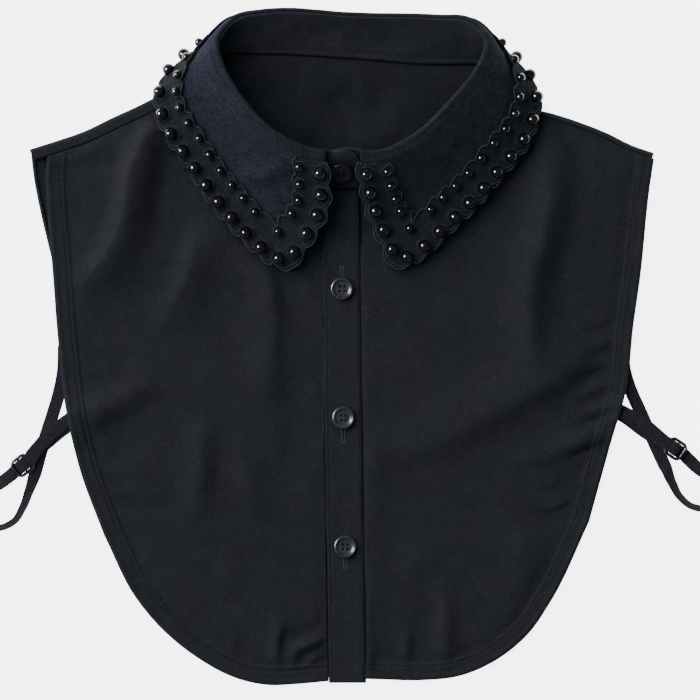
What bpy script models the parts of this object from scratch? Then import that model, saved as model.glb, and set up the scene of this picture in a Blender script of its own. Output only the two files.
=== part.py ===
"""A detachable shirt collar, laid flat on its back with its front buttoned.

Two front panels and a back panel of crepe carry a shirt collar: a stand, a fall that turns over it,
and a scalloped trim with two rows of beads round the fall's edge. The front closes with a placket
and buttons, and an elastic strap with a slide joins the front to the back at each side.

The tables below are in millimetres: +X to the right, +Y towards the back of the neck, +Z up from
the surface that the collar lies on.
"""
import math
from collections import namedtuple

import bmesh
import bpy
import numpy as np

MM = 0.001

# Walls, all in millimetres.
GAP = 0.3                   # air between two pieces that meet
CREPE = 1.2                 # one panel of the body
STAND_WALL = 1.6            # interfaced cloth of the stand
FALL_WALL = 1.4             # interfaced cloth of the fall
TRIM_WALL = 1.0             # embroidered trim on the fall
FOLD_RADIUS = 1.5           # roll where the fall turns over the stand
STAND_TOP_GAP = 0.9         # air between the top of the stand and the roll over it
PLACKET_WALL = 1.4
PLACKET_WIDTH = 18.5
SEAM_WRAP = {"left": 6.0, "right": 2.6}    # how far the back panel comes over each shoulder

# Trim, measured in from the fall's free edge.
SCALLOP_DEPTH = 2.2
OUTER_BEADS_AT = 5.8
INNER_BEADS_AT = 18.0
TRIM_WIDTH = 22.5
FALL_EDGE_AT = 3.0
TRIM_BELOW_FOLD = math.pi * FOLD_RADIUS + 3.5
OUTER_BEAD = 6.2            # diameters
INNER_BEAD = 4.4
BEAD_SINK = 0.5             # how deep a bead's widest part sits in the trim
BACK_TRIM_STANDOFF = 0.8    # the trim behind the neck stands off where it rounds the bend
TRIM_GAP = 0.6              # between the fall and the trim, more than a chord's sag on its curves
FRONT_SCALLOPS = 5          # scallops on the fall's short front edge
SIDE_SCALLOPS = 13          # scallops from its point to the back of the shoulder
FRONT_NARROWING = 0.2       # how much narrower the trim is at the top of the short front edge

BUTTON_DIAMETER = 11.5
BUTTON_THICKNESS = 2.4
WEBBING = 6.5               # width of the elastic
WEBBING_THICKNESS = 0.9

# The whole lies with the middle of its box on the frame's origin.
CENTRE_SHIFT = (-0.15, -1.67, 0.0)

# One row for each section of the collar, from the left front round the back to the right front.
# seam: where the stand is sewn to the body; fold: the rim where the fall turns over;
# belly: half way down the fall; edge: the free edge of the trim.
Section = namedtuple("Section", "seam fold belly edge")
COLLAR = [
    Section((-9, 80.6, 6.6), (-6.8, 98.5, 24.5), (-6.8, 71, 15), (-25.5, 37.5, 6.0)),
    Section((-19, 82.0, 6.2), (-18.0, 100, 24.8), (-26.5, 70, 12), (-36.5, 40.5, 5.5)),
    Section((-40, 92.0, 6.0), (-37.5, 110, 25.7), (-49, 83, 10.5), (-58.5, 60.0, 5.2)),
    Section((-60, 113.5, 6.0), (-54, 128, 26.8), (-68.5, 106, 12.5), (-77.5, 86.7, 5.2)),
    Section((-71.5, 131, 6.0), (-62.3, 143.5, 27.0), (-81.5, 128.5, 14.5), (-93.5, 114.5, 5.2)),
    Section((-73.5, 137, 5.7), (-63.9, 149.5, 26.8), (-81.5, 135.5, 14.5), (-94.5, 127.0, 5.0)),
    Section((-71.5, 142, 5.5), (-64.0, 155, 26.0), (-76.0, 144.5, 13.5), (-87.5, 136, 2.6)),
    Section((-66.0, 145.5, 5.1), (-61.0, 160, 24.8), (-68.5, 152.5, 12.0), (-78, 143.5, 2.0)),
    Section((-58.0, 147.3, 4.9), (-55.0, 166, 22.5), (-58.5, 163.0, 9.0), (-63, 147, 2.0)),
    Section((-44.0, 147.3, 4.8), (-42.0, 168.8, 20.5), (-43.5, 169.8, 8.0), (-45, 144.5, 2.0)),
    Section((5.5, 144.7, 4.7), (5.5, 167.3, 19.0), (5.5, 168.6, 7.0), (5.5, 142.0, 2.0)),
    Section((47.0, 141.8, 4.8), (47.0, 166.2, 20.5), (48.5, 167.4, 8.0), (50, 141.6, 2.0)),
    Section((64.0, 142.0, 4.9), (61.0, 165, 22.5), (64.8, 162.0, 9.0), (69.5, 146.0, 2.0)),
    Section((72.0, 141.0, 5.1), (67.5, 160, 24.8), (72.5, 153.5, 12.0), (82, 142.5, 2.0)),
    Section((77.0, 137.0, 5.5), (70.5, 154, 26.0), (80.5, 143.5, 13.5), (90.5, 133, 2.6)),
    Section((78.0, 132.0, 5.7), (68.8, 147, 26.8), (84.5, 133.5, 14.5), (96.0, 122, 5.0)),
    Section((75.0, 126.5, 6.0), (65.0, 139.5, 27.0), (82.5, 123.5, 14.5), (94.0, 108.5, 5.2)),
    Section((58.0, 109.0, 6.0), (51.5, 122.5, 26.8), (65, 101, 12.5), (74.5, 80.5, 5.2)),
    Section((36.0, 90.0, 6.0), (32.0, 105, 25.7), (44, 80, 10.5), (53.5, 58.0, 5.2)),
    Section((14.5, 82.0, 6.2), (13.0, 98, 24.8), (22.5, 69.5, 11), (32.0, 40.5, 5.5)),
    Section((5.0, 81.0, 6.6), (4.2, 99.5, 24.5), (7.8, 72, 13), (21.5, 38.5, 6.0)),
]
LEFT_POINT, RIGHT_POINT = 0, len(COLLAR) - 1
LEFT_SHOULDER, RIGHT_SHOULDER = 4, 16
LEFT_LAST_BEAD, RIGHT_LAST_BEAD = 7.0, 13.0

# The stand goes on past the fall's two ends: the left end laps over the right one.
StandEnd = namedtuple("StandEnd", "seam top")
LAPPED_OVER = [
    StandEnd((8.6, 80.0, 7.2), (8.2, 92.0, 17.9)),
    StandEnd((4.5, 79.9, 7.2), (4.6, 97.0, 22.3)),
    StandEnd((-1.0, 80.0, 7.2), (-1.0, 98.9, 24.0)),
]
LAPPED_UNDER = [
    StandEnd((-1.0, 81.9, 5.3), (-1.0, 99.9, 21.7)),
    StandEnd((-8.5, 82.5, 4.9), (-8.3, 98.3, 19.9)),
]

# Outlines of the body, each from the neck outwards and down.
LEFT_SHOULDER_LINE = [(-75.5, 134), (-95, 125.5), (-104, 121), (-117, 115), (-130.5, 108.5),
                      (-149.5, 102)]
RIGHT_SHOULDER_LINE = [(78, 126), (92, 120.5), (109, 115.5), (129.3, 108), (143.8, 101), (154, 97.5)]
LEFT_SIDE = [(-149.5, 102), (-150, 89), (-149.5, 73.5), (-146.8, 40), (-143.5, -1), (-139.5, -33.5),
             (-133, -61), (-121, -93.5)]
LEFT_HEM = [(-121, -93.5), (-105, -125), (-92.5, -140), (-78, -152.3), (-50.3, -166.5), (-39, -168.5),
            (-24.5, -168), (-8.6, -166.5)]
RIGHT_SIDE = [(154, 97.5), (152, 81.5), (147, 34.5), (143.8, 12), (140, -21), (133, -45.5), (121.5, -87)]
RIGHT_HEM = [(121.5, -87), (102.5, -126.5), (91.5, -142.5), (79, -153.5), (54.5, -164.5), (40, -166),
             (12.5, -165.5), (-6.8, -165)]
# Edges of the two front panels under the placket, from the neck down to the hem.
LEFT_INNER = [(-12.5, 79.3), (-11.7, 40), (-10.6, -60)]
RIGHT_INNER = [(-8.5, 80.6), (-7.8, 40), (-7.2, -60)]
# The back's armholes stand out past the front's at the left shoulder and are inside them below.
BACK_LEFT_ARMHOLE = [(-157.5, 97.5), (-156.2, 86), (-153.5, 71.5), (-148, 48)]
BACK_RIGHT_ARMHOLE = [(149.0, 75)]
BACK_HEM_MIDDLE = [(-38, -164.5), (0, -163.5), (38, -163)]
BACK_SIDE_INSET = 7.5       # the back's sides lie this far inside the front's
BACK_HEM_INSET = 3.0

PLACKET_LEFT = [(-12.2, 79), (-11.4, 40), (-10.3, -60), (-8.4, -167.4)]
BUTTON_ROWS = [29.6, -34.8, -99.3]
STAND_BUTTON = (-2.4, 0.47)  # x, and how far up the stand

# Soft folds of the fronts: a bent line from start to end, bowed sideways at its middle.
Fold = namedtuple("Fold", "start end bow width height")
FOLDS = [
    Fold((-106, 100), (-135, 31), 6, 9, 3.2),
    Fold((-77, 78), (-93, 12), -3, 9, 3.4),
    Fold((-44, 40), (-44, 10), 2, 7, 2.6),
    Fold((-22, 38), (-26, 20), 0, 6, 2.0),
    Fold((-131, -44), (-97, -20), 3, 5, 2.2),
    Fold((-70, -45), (-66, -90), 3, 8, 2.2),
    Fold((-32, -22), (-28, -66), -3, 8, 2.4),
    Fold((-45, -142), (-14, -132), 2, 6, 2.2),
    Fold((-60, -120), (-52, -148), 0, 7, 1.8),
    Fold((97, 100), (80, -2), 5, 10, 3.6),
    Fold((118, 86), (104, 14), -4, 8, 2.6),
    Fold((62, 66), (56, 20), 0, 8, 2.2),
    Fold((110, -18), (22, -50), 5, 8, 2.6),
    Fold((104, -32), (40, -66), 6, 9, 2.2),
    Fold((117, -58), (88, -84), -3, 6, 2.4),
    Fold((46, -110), (44, -150), 0, 6, 2.4),
    Fold((28, -84), (26, -146), 2, 7, 1.8),
    Fold((66, -122), (62, -150), 0, 6, 2.0),
]

# Elastic straps: points along the middle, and the strap's turn from flat in degrees.
StrapPoint = namedtuple("StrapPoint", "x y z turn")
LEFT_LOOP = [
    StrapPoint(-140.9, 1, 0.6, 0), StrapPoint(-141.4, -11.9, 0.6, 0), StrapPoint(-143.5, -22.6, 0.6, 0),
    StrapPoint(-146.4, -32.5, 0.6, 0), StrapPoint(-149.8, -43, 0.6, 0), StrapPoint(-152.8, -53, 0.6, 0),
    StrapPoint(-154.4, -59, 0.6, 3), StrapPoint(-156.2, -65, 1.6, 26), StrapPoint(-158.6, -72, 2.6, 48),
    StrapPoint(-161.7, -80, 3.1, 58), StrapPoint(-165.8, -86.5, 3.2, 62), StrapPoint(-172, -89.7, 3.2, 62),
    StrapPoint(-181, -89.7, 3.2, 62), StrapPoint(-188.5, -85.5, 3.2, 62), StrapPoint(-191.6, -79, 3.2, 62),
    StrapPoint(-187.5, -73.3, 3.0, 58), StrapPoint(-181, -71, 2.4, 40), StrapPoint(-174, -68.3, 1.4, 16),
    StrapPoint(-167, -63.2, 0.8, 0),
]
RIGHT_LOOP = [
    StrapPoint(138.6, 1, 0.6, 0), StrapPoint(139.2, -10.7, 0.6, 0), StrapPoint(141.8, -19.7, 0.6, 0),
    StrapPoint(146.2, -29.7, 0.6, 0), StrapPoint(150.8, -40, 0.6, 0), StrapPoint(154.6, -48.5, 0.6, 0),
    StrapPoint(157.8, -55.5, 0.6, -3), StrapPoint(160.4, -61, 1.6, -26), StrapPoint(163.3, -68, 2.6, -48),
    StrapPoint(167.3, -74.8, 3.1, -58), StrapPoint(172.5, -79, 3.2, -62), StrapPoint(179, -80.4, 3.2, -62),
    StrapPoint(186, -79.3, 3.2, -62), StrapPoint(191, -75, 3.2, -62), StrapPoint(191.8, -69.3, 3.2, -60),
    StrapPoint(187.5, -65.5, 2.8, -50), StrapPoint(182, -63.6, 2.2, -34), StrapPoint(176, -60.2, 1.2, -14),
    StrapPoint(170.1, -54.6, 0.8, 0),
]
# The doubled stretch from under the front panel's edge to the slide: its two layers lie a little apart.
TABS = {
    "left": {"lower": [(-133.5, -35.6), (-139.5, -39.3), (-151.2, -48.8), (-157, -53.7)],
             "upper": [(-134, -32.8), (-139, -36.2), (-148.4, -43.8), (-157, -53.4)]},
    "right": {"lower": [(133, -30.8), (139, -34.2), (152, -43.5), (159, -46.9)],
              "upper": [(133.5, -29.5), (139, -32.4), (147.5, -37.2), (159, -46.6)]},
}
TAB_LEVELS = {"lower": 2.2, "upper": 3.4}
STRAP_LIFTS_AT = [(-136.5, -35.5), (135.5, -31)]    # where the tabs pass under the fronts' edges
LOOP_SECTIONS, TAB_SECTIONS = 34, 7
SLIDE_SIZE = (10.2, 10.5, 1.5)
SLIDE_RAILS = 2.8           # both side rails of the slide together
SLIDES = {"left": ((-161.8, -58.7, 2.8), 219), "right": ((164.6, -50.4, 2.8), -34)}


def unit(vectors):
    vectors = np.asarray(vectors, float)
    return vectors / np.linalg.norm(vectors, axis=-1, keepdims=True)


def spline(knots, values, at):
    """A smooth curve through the values, one at each knot, read at the given places."""
    knots, values, at = np.asarray(knots, float), np.asarray(values, float), np.asarray(at, float)
    step = np.diff(knots)[:, None]
    slope = np.diff(values, axis=0) / step
    inner = (slope[1:] * step[:-1] + slope[:-1] * step[1:]) / (step[1:] + step[:-1])
    tangent = np.vstack([slope[:1], inner, slope[-1:]])
    i = np.clip(np.searchsorted(knots, at, side="right") - 1, 0, len(knots) - 2)
    h = step[i]
    t = ((at - knots[i])[:, None]) / h
    return ((2 * t**3 - 3 * t**2 + 1) * values[i] + (t**3 - 2 * t**2 + t) * h * tangent[i]
            + (3 * t**2 - 2 * t**3) * values[i + 1] + (t**3 - t**2) * h * tangent[i + 1])


def lengths_along(points):
    return np.concatenate([[0.0], np.cumsum(np.linalg.norm(np.diff(points, axis=0), axis=1))])


def smooth_line(points, count):
    """Evenly spaced points on the smooth curve through the given ones."""
    points = np.asarray(points, float)
    knots = lengths_along(points)
    dense = spline(knots, points, np.linspace(0, knots[-1], 40 * len(points)))
    run = lengths_along(dense)
    even = np.linspace(0, run[-1], count)
    return np.stack([np.interp(even, run, dense[:, k]) for k in range(points.shape[1])], axis=1)


# ---------------------------------------------------------------- the collar's surface

FOLD_KNOTS = lengths_along(np.array([row.fold for row in COLLAR], float))
SECTION_NUMBERS = np.arange(len(COLLAR), dtype=float)


def at_section(number):
    """Distance along the fold of a row of the table, which may lie between two rows."""
    return np.interp(number, SECTION_NUMBERS, FOLD_KNOTS)


def collar_curve(name, s):
    return spline(FOLD_KNOTS, [getattr(row, name) for row in COLLAR], np.atleast_1d(s))


def stand_frame(s):
    """The stand's upward direction and the direction square to it, outwards."""
    seam, fold = collar_curve("seam", s), collar_curve("fold", s)
    along = unit(collar_curve("fold", np.asarray(s) + 0.5) - collar_curve("fold", np.asarray(s) - 0.5))
    up = unit(fold - seam)
    out = unit(np.cross(up, along))
    return seam, fold, up, out


def fall_profiles(s, steps=48):
    """Across the fall at each place: over the fold's roll, then down its outside to the edge."""
    seam, fold, up, out = stand_frame(s)
    belly, edge = collar_curve("belly", s), collar_curve("edge", s)
    rows = []
    for k in range(len(np.atleast_1d(s))):
        centre = fold[k] - FOLD_RADIUS * up[k]
        roll = [centre + FOLD_RADIUS * (-math.cos(a) * out[k] + math.sin(a) * up[k])
                for a in np.linspace(0, math.pi, 5)]
        points = np.array(roll + [belly[k], edge[k]])
        knots = lengths_along(points)
        curve = spline(knots, points, np.linspace(0, knots[-1], steps))
        curve[:, 2] = np.maximum(curve[:, 2], FLAT_FALL_LEVEL)
        rows.append(curve)
    return np.array(rows)


FLAT_FALL_LEVEL = TRIM_WALL + TRIM_GAP + FALL_WALL / 2
SURFACE_S = np.linspace(0, FOLD_KNOTS[-1], 171)
SURFACE = fall_profiles(SURFACE_S)
SURFACE_Q = np.array([lengths_along(row[::-1])[::-1] for row in SURFACE])    # distance from the edge


def section_length(s):
    return np.interp(s, SURFACE_S, SURFACE_Q[:, 0])


def fall_point(s, q):
    """The point of the fall at distance s along the fold and q in from the free edge."""
    j = min(max(np.searchsorted(SURFACE_S, s, side="right") - 1, 0), len(SURFACE_S) - 2)
    blend = (s - SURFACE_S[j]) / (SURFACE_S[j + 1] - SURFACE_S[j])
    ends = []
    for row in (j, j + 1):
        q_row, p_row = SURFACE_Q[row][::-1], SURFACE[row][::-1]
        ends.append(np.array([np.interp(q, q_row, p_row[:, k]) for k in range(3)]))
    return (1 - blend) * ends[0] + blend * ends[1]


def fall_normal(s, q):
    ds, dq = 1.0, 0.6
    s0, s1 = max(s - ds, 0.0), min(s + ds, FOLD_KNOTS[-1])
    q0, q1 = max(q - dq, 0.0), min(q + dq, section_length(s))
    along = fall_point(s1, q) - fall_point(s0, q)
    up = fall_point(s, q1) - fall_point(s, q0)
    return unit(np.cross(up, along))


def raised(s, q, height):
    return fall_point(s, q) + height * fall_normal(s, q)


def front_inset(q, distance, side):
    """How far along the fold a line runs that stays a given distance inside the short front edge."""
    total = FOLD_KNOTS[-1]
    tries = np.linspace(0, 45, 46)
    edge = np.array([fall_point(0 if side == "left" else total, t) for t in np.linspace(0, 70, 60)])
    reach = []
    for t in tries:
        p = fall_point(t if side == "left" else total - t, q)
        reach.append(np.min(np.linalg.norm(edge - p, axis=1)))
    inset = float(np.interp(distance, np.maximum.accumulate(reach), tries))
    return inset if side == "left" else total - inset


# ---------------------------------------------------------------- meshes

def material(name, colour, roughness, metallic=0.0):
    made = bpy.data.materials.new(name)
    made.use_nodes = True
    shader = made.node_tree.nodes["Principled BSDF"]
    shader.inputs["Base Color"].default_value = (*colour, 1.0)
    shader.inputs["Roughness"].default_value = roughness
    shader.inputs["Metallic"].default_value = metallic
    return made


def add_object(name, mesh, look, root):
    made = bpy.data.objects.new(name, mesh)
    made.data.materials.append(look)
    bpy.context.scene.collection.objects.link(made)
    made.parent = root
    return made


def grid_faces(bm, grid):
    """Quads through a grid of points in millimetres; points that repeat are welded later."""
    verts = [[bm.verts.new(np.asarray(p) * MM) for p in row] for row in grid]
    for i in range(len(verts) - 1):
        for j in range(len(verts[0]) - 1):
            bm.faces.new((verts[i][j], verts[i + 1][j], verts[i + 1][j + 1], verts[i][j + 1]))


def cloth(name, grids, thickness, offset, look, root):
    """A closed wall of cloth made from open surfaces; offset is where the wall lies, -1 to 1."""
    bm = bmesh.new()
    for grid in grids:
        grid_faces(bm, grid)
    bmesh.ops.remove_doubles(bm, verts=bm.verts, dist=1e-6)
    mesh = bpy.data.meshes.new(name)
    bm.to_mesh(mesh)
    bm.free()
    made = add_object(name, mesh, look, root)
    wall = made.modifiers.new("Wall", "SOLIDIFY")
    wall.thickness = thickness * MM
    wall.offset = offset
    return made


def closed_wall(name, lower, upper, look, root):
    """A closed solid between two grids of points that match row for row."""
    bm = bmesh.new()
    layers = [[[bm.verts.new(np.asarray(p) * MM) for p in row] for row in grid] for grid in (lower, upper)]
    rows, columns = len(lower), len(lower[0])
    for layer in layers:
        for i in range(rows - 1):
            for j in range(columns - 1):
                bm.faces.new((layer[i][j], layer[i + 1][j], layer[i + 1][j + 1], layer[i][j + 1]))
    rim = [(i, 0) for i in range(rows)] + [(rows - 1, j) for j in range(1, columns)]
    rim += [(i, columns - 1) for i in range(rows - 2, -1, -1)] + [(0, j) for j in range(columns - 2, 0, -1)]
    for (i, j), (k, m) in zip(rim, rim[1:] + rim[:1]):
        bm.faces.new((layers[0][i][j], layers[0][k][m], layers[1][k][m], layers[1][i][j]))
    bmesh.ops.recalc_face_normals(bm, faces=bm.faces)
    mesh = bpy.data.meshes.new(name)
    bm.to_mesh(mesh)
    bm.free()
    return add_object(name, mesh, look, root)


# ---------------------------------------------------------------- the body's levels

def seam_points(first, last, count):
    return collar_curve("seam", np.linspace(at_section(first), at_section(last), count))


NECK = np.vstack([seam_points(LEFT_POINT, RIGHT_POINT, 120), [(-1.0, 80.0, 7.2)]])
BACK_OF_NECK = seam_points(LEFT_SHOULDER, RIGHT_SHOULDER, 60)
SHOULDERS = [smooth_line(LEFT_SHOULDER_LINE, 60), smooth_line(RIGHT_SHOULDER_LINE, 60)]
NECK_LIFT, NECK_LIFT_REACH = 3.4, 24.0
SHOULDER_LIFT, SHOULDER_LIFT_REACH = 1.2, 14.0
STRAP_LIFT, STRAP_LIFT_REACH = 3.4, 13.0
BACK_LEVEL = CREPE
FRONT_LEVEL = BACK_LEVEL + GAP
WRAP_RADIUS = (FRONT_LEVEL + SHOULDER_LIFT + CREPE) / 2


def ease(t):
    t = np.clip(t, 0.0, 1.0)
    return t * t * (3 - 2 * t)


def nearest(points, x, y):
    return float(np.min(np.hypot(points[:, 0] - x, points[:, 1] - y)))


def back_level(x, y):
    """Underside of the back panel: on the surface, but lifted where the fall is tucked under it."""
    return NECK_LIFT * float(ease(1.15 - nearest(BACK_OF_NECK, x, y) / NECK_LIFT_REACH))


def fold_height(x, y):
    total = 0.0
    for fold in FOLDS:
        (x0, y0), (x1, y1) = fold.start, fold.end
        dx, dy = x1 - x0, y1 - y0
        length = math.hypot(dx, dy)
        t = ((x - x0) * dx + (y - y0) * dy) / length**2
        bow = fold.bow * 4 * t * (1 - t) if 0 < t < 1 else 0.0
        off = ((x - x0) * -dy + (y - y0) * dx) / length - bow
        past = max(-t, t - 1, 0.0) * length
        total += fold.height * math.exp(-(off / fold.width) ** 2 - (past / (1.4 * fold.width)) ** 2)
    return total


def front_level(x, y):
    """Underside of a front panel, over the back panel."""
    neck = float(ease(1.15 - nearest(NECK, x, y) / NECK_LIFT_REACH))
    shoulder = min(nearest(line, x, y) for line in SHOULDERS)
    rise = max(NECK_LIFT * neck, SHOULDER_LIFT * float(ease(1.5 - shoulder / SHOULDER_LIFT_REACH)))
    under_leaf = 1.0 - 0.85 * float(ease((y - 42.0) / 30.0)) * float(ease((100.0 - abs(x)) / 25.0))
    by_placket = float(ease((abs(x + 1.5) - 10.0) / 14.0))
    folds = fold_height(x, y) * under_leaf * by_placket * float(ease((shoulder - 4.0) / 12.0))
    straps = max(math.exp(-(math.hypot(x - px, y - py) / STRAP_LIFT_REACH) ** 2) for px, py in STRAP_LIFTS_AT)
    return FRONT_LEVEL + rise + max(folds, STRAP_LIFT * straps)


def patch(top, bottom, inner, outer):
    """Points filled in between four edge lines that share their corners."""
    rows, columns = len(inner), len(top)
    v, u = np.linspace(0, 1, rows)[:, None, None], np.linspace(0, 1, columns)[None, :, None]
    between = (1 - v) * top[None] + v * bottom[None] + (1 - u) * inner[:, None] + u * outer[:, None]
    corners = ((1 - u) * (1 - v) * top[0] + u * (1 - v) * top[-1]
               + (1 - u) * v * bottom[0] + u * v * bottom[-1])
    return between - corners


# ---------------------------------------------------------------- pieces

PANEL_ROWS, BACK_ROWS = 26, 15
SIDE_COLUMNS, BACK_COLUMNS = 16, 24
BACK_TRIM_DEPTHS = (0.8, 6.0, 10.0, 14.0, 18.0, TRIM_WIDTH - 0.6)
NECK_CLEARANCE = STAND_WALL / 2 + GAP + 0.2
NECK_COLUMNS, SHOULDER_COLUMNS = 6, 6


def neck_edge(first, last, count, side=1):
    """The body's neck edge, beside the stand's seam: outside it in front, inside it at the back."""
    clearance = side * NECK_CLEARANCE
    s = np.linspace(at_section(first), at_section(last), count)
    points, ahead = collar_curve("seam", s), collar_curve("seam", s + 0.5)
    along = unit((ahead - points)[:, :2])
    return points[:, :2] + clearance * np.stack([-along[:, 1], along[:, 0]], axis=1)


def front_edges(side):
    if side == "left":
        line, edge, hem, inner_line = LEFT_SHOULDER_LINE, LEFT_SIDE, LEFT_HEM, LEFT_INNER
        neck = neck_edge(LEFT_POINT, LEFT_SHOULDER, NECK_COLUMNS + 1)
    else:
        line, edge, hem, inner_line = RIGHT_SHOULDER_LINE, RIGHT_SIDE, RIGHT_HEM, RIGHT_INNER
        neck = neck_edge(RIGHT_SHOULDER, RIGHT_POINT, NECK_COLUMNS + 1)[::-1]
    neck[0] = inner_line[0]
    inner = smooth_line(inner_line + [hem[-1]], PANEL_ROWS)
    shoulder = smooth_line(line, SHOULDER_COLUMNS + 1)
    along = unit(shoulder[-1] - shoulder[0])
    down = np.array([along[1], -along[0]]) * (1 if side == "right" else -1)
    seam = shoulder + down * (SEAM_WRAP[side] + GAP)
    neck[-1] = seam[0]
    top = np.vstack([neck, seam[1:]])
    outer = smooth_line([tuple(seam[-1])] + edge[1:], PANEL_ROWS)
    hem_line = smooth_line(hem[::-1], len(top))
    return top, hem_line, inner, outer


def front_panel(side, look, root):
    plan = patch(*front_edges(side))
    grid = [[(x, y, front_level(x, y)) for x, y in row] for row in plan]
    upper = [[(x, y, z + CREPE) for x, y, z in row] for row in grid]
    return closed_wall(f"front_{side}", grid, upper, look, root)


def shoulder_wrap(line, down, wrap):
    """The strip of the back panel that turns over the shoulder and comes down to the seam."""
    rows = []
    for x, y in line:
        lift = back_level(x, y)
        radius = (front_level(*(np.array([x, y]) + down * wrap)) + CREPE - lift) / 2
        strip = [(x, y, lift)]
        for a in (45, 90, 135, 180):
            turn = math.radians(a)
            out = radius * math.sin(turn)
            strip.append((x - down[0] * out, y - down[1] * out, lift + radius * (1 - math.cos(turn))))
        for reach in (0.45, 1.0):
            px, py = np.array([x, y]) + down * (wrap - WRAP_RADIUS) * reach
            strip.append((px, py, lift + 2 * radius))
        rows.append(strip)
    return rows


def back_panel(look, root):
    columns = 2 * SHOULDER_COLUMNS + 2 * NECK_COLUMNS
    lines, downs = [], []
    for table, sign in ((LEFT_SHOULDER_LINE, -1), (RIGHT_SHOULDER_LINE, 1)):
        line = smooth_line(table, SHOULDER_COLUMNS + 1)
        along = unit(line[-1] - line[0])
        down = np.array([along[1], -along[0]]) * sign
        lines.append(line + down * WRAP_RADIUS)
        downs.append(down)
    neck = neck_edge(LEFT_SHOULDER + 1, RIGHT_SHOULDER - 1, 2 * NECK_COLUMNS + 1, side=-1)
    neck[0], neck[-1] = lines[0][0], lines[1][0]
    lines[0][-1] = BACK_LEFT_ARMHOLE[0]
    top = np.vstack([lines[0][::-1], neck[1:-1], lines[1]])
    left = BACK_LEFT_ARMHOLE + [(x + BACK_SIDE_INSET, y) for x, y in LEFT_SIDE[4:]]
    right = [tuple(lines[1][-1])] + BACK_RIGHT_ARMHOLE
    right += [(x - BACK_SIDE_INSET, y) for x, y in RIGHT_SIDE[3:]]
    inner, outer = smooth_line(left, BACK_ROWS), smooth_line(right, BACK_ROWS)
    hem = [(x + BACK_SIDE_INSET, y + BACK_HEM_INSET) for x, y in LEFT_HEM[:4]]
    hem += BACK_HEM_MIDDLE
    hem += [(x - BACK_SIDE_INSET, y + BACK_HEM_INSET) for x, y in RIGHT_HEM[3::-1]]
    bottom = smooth_line(hem, columns + 1)
    inner[-1], outer[-1] = bottom[0], bottom[-1]
    plan = patch(top, bottom, inner, outer)
    base = [[(x, y, back_level(x, y)) for x, y in row] for row in plan]
    wraps = [shoulder_wrap(lines[0], downs[0], SEAM_WRAP["left"]),
             shoulder_wrap(lines[1], downs[1], SEAM_WRAP["right"])[::-1]]
    return cloth("back_panel", [base[::-1]] + wraps, CREPE, -1, look, root)


def placket(look, root):
    """The folded band that closes the front, over the edges of both panels."""
    left = smooth_line(PLACKET_LEFT, 27)
    lower = []
    for x, y in left:
        xs = x + np.linspace(0, PLACKET_WIDTH, 4)
        level = max(front_level(px, y) for px in xs) + CREPE + GAP
        lower.append([(px, y, level) for px in xs])
    upper = [[(x, y, z + PLACKET_WALL) for x, y, z in row] for row in lower]
    return closed_wall("placket", lower, upper, look, root)


def placket_top(y):
    x = np.interp(-y, [-p[1] for p in PLACKET_LEFT], [p[0] for p in PLACKET_LEFT])
    xs = x + np.linspace(0, PLACKET_WIDTH, 4)
    return max(front_level(px, y) for px in xs) + CREPE + GAP + PLACKET_WALL


def stand_rows():
    """Seam and top of the stand at each section, with the lapped ends."""
    s = np.linspace(0, FOLD_KNOTS[-1], 45)
    seam, fold, up, out = stand_frame(s)
    top = fold - (FOLD_RADIUS + STAND_TOP_GAP) * up - FOLD_RADIUS * out
    rows = [(np.array(end.seam, float), np.array(end.top, float)) for end in LAPPED_OVER]
    rows += list(zip(seam, top))
    return rows + [(np.array(end.seam, float), np.array(end.top, float)) for end in LAPPED_UNDER]


def collar_stand(look, root):
    grid = [[seam + (top - seam) * t for t in (0, 0.35, 0.7, 1)] for seam, top in stand_rows()]
    return cloth("collar_stand", [grid], STAND_WALL, 0, look, root)


def back_columns():
    """Places along the fold behind the shoulders, closest together where the fall turns the corner."""
    return at_section(np.linspace(LEFT_LAST_BEAD, RIGHT_LAST_BEAD, BACK_COLUMNS + 1))


def fall_columns(depth):
    """Places along the fold of the fall's columns, at one distance from the free edge."""
    first = front_inset(depth, FALL_EDGE_AT, "left")
    last = front_inset(depth, FALL_EDGE_AT, "right")
    middle = back_columns()
    left = np.linspace(first, middle[0], SIDE_COLUMNS + 1)[:-1]
    right = np.linspace(middle[-1], last, SIDE_COLUMNS + 1)[1:]
    return np.concatenate([left, middle, right])


def collar_fall(look, root):
    depths = [FALL_EDGE_AT] + list(BACK_TRIM_DEPTHS[1:]) + [TRIM_WIDTH + 0.6]
    columns = [fall_columns(d) for d in depths]
    rows = []
    for k in range(len(columns[0])):
        row = [fall_point(column[k], depth) for column, depth in zip(columns, depths)]
        s = columns[-1][k]
        roll_start = section_length(s) - math.pi * FOLD_RADIUS
        for share in (0.3, 0.65):
            row.append(fall_point(s, depths[-1] + (roll_start - depths[-1]) * share))
        for turn in (0, 0.25, 0.5, 0.75, 1.0):
            row.append(fall_point(s, roll_start + turn * math.pi * FOLD_RADIUS))
        rows.append(row[::-1])
    return cloth("collar_fall", [rows], FALL_WALL, 0, look, root)


TRIM_LIFT = FALL_WALL / 2 + TRIM_GAP
TRIM_DEPTHS = (0.0, OUTER_BEADS_AT, 12.0, INNER_BEADS_AT, TRIM_WIDTH)


def scallop(phase):
    """Distance of the scalloped edge from its outermost line, 0 at the middle of a scallop."""
    return SCALLOP_DEPTH * (1 - abs(math.sin(math.pi * phase)))


def side_reach(side, depth):
    """Where the side stretch of the trim starts and ends along the fold, at one depth."""
    start = front_inset(depth, depth, side)
    end = at_section(LEFT_LAST_BEAD if side == "left" else RIGHT_LAST_BEAD)
    return start, end


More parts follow.
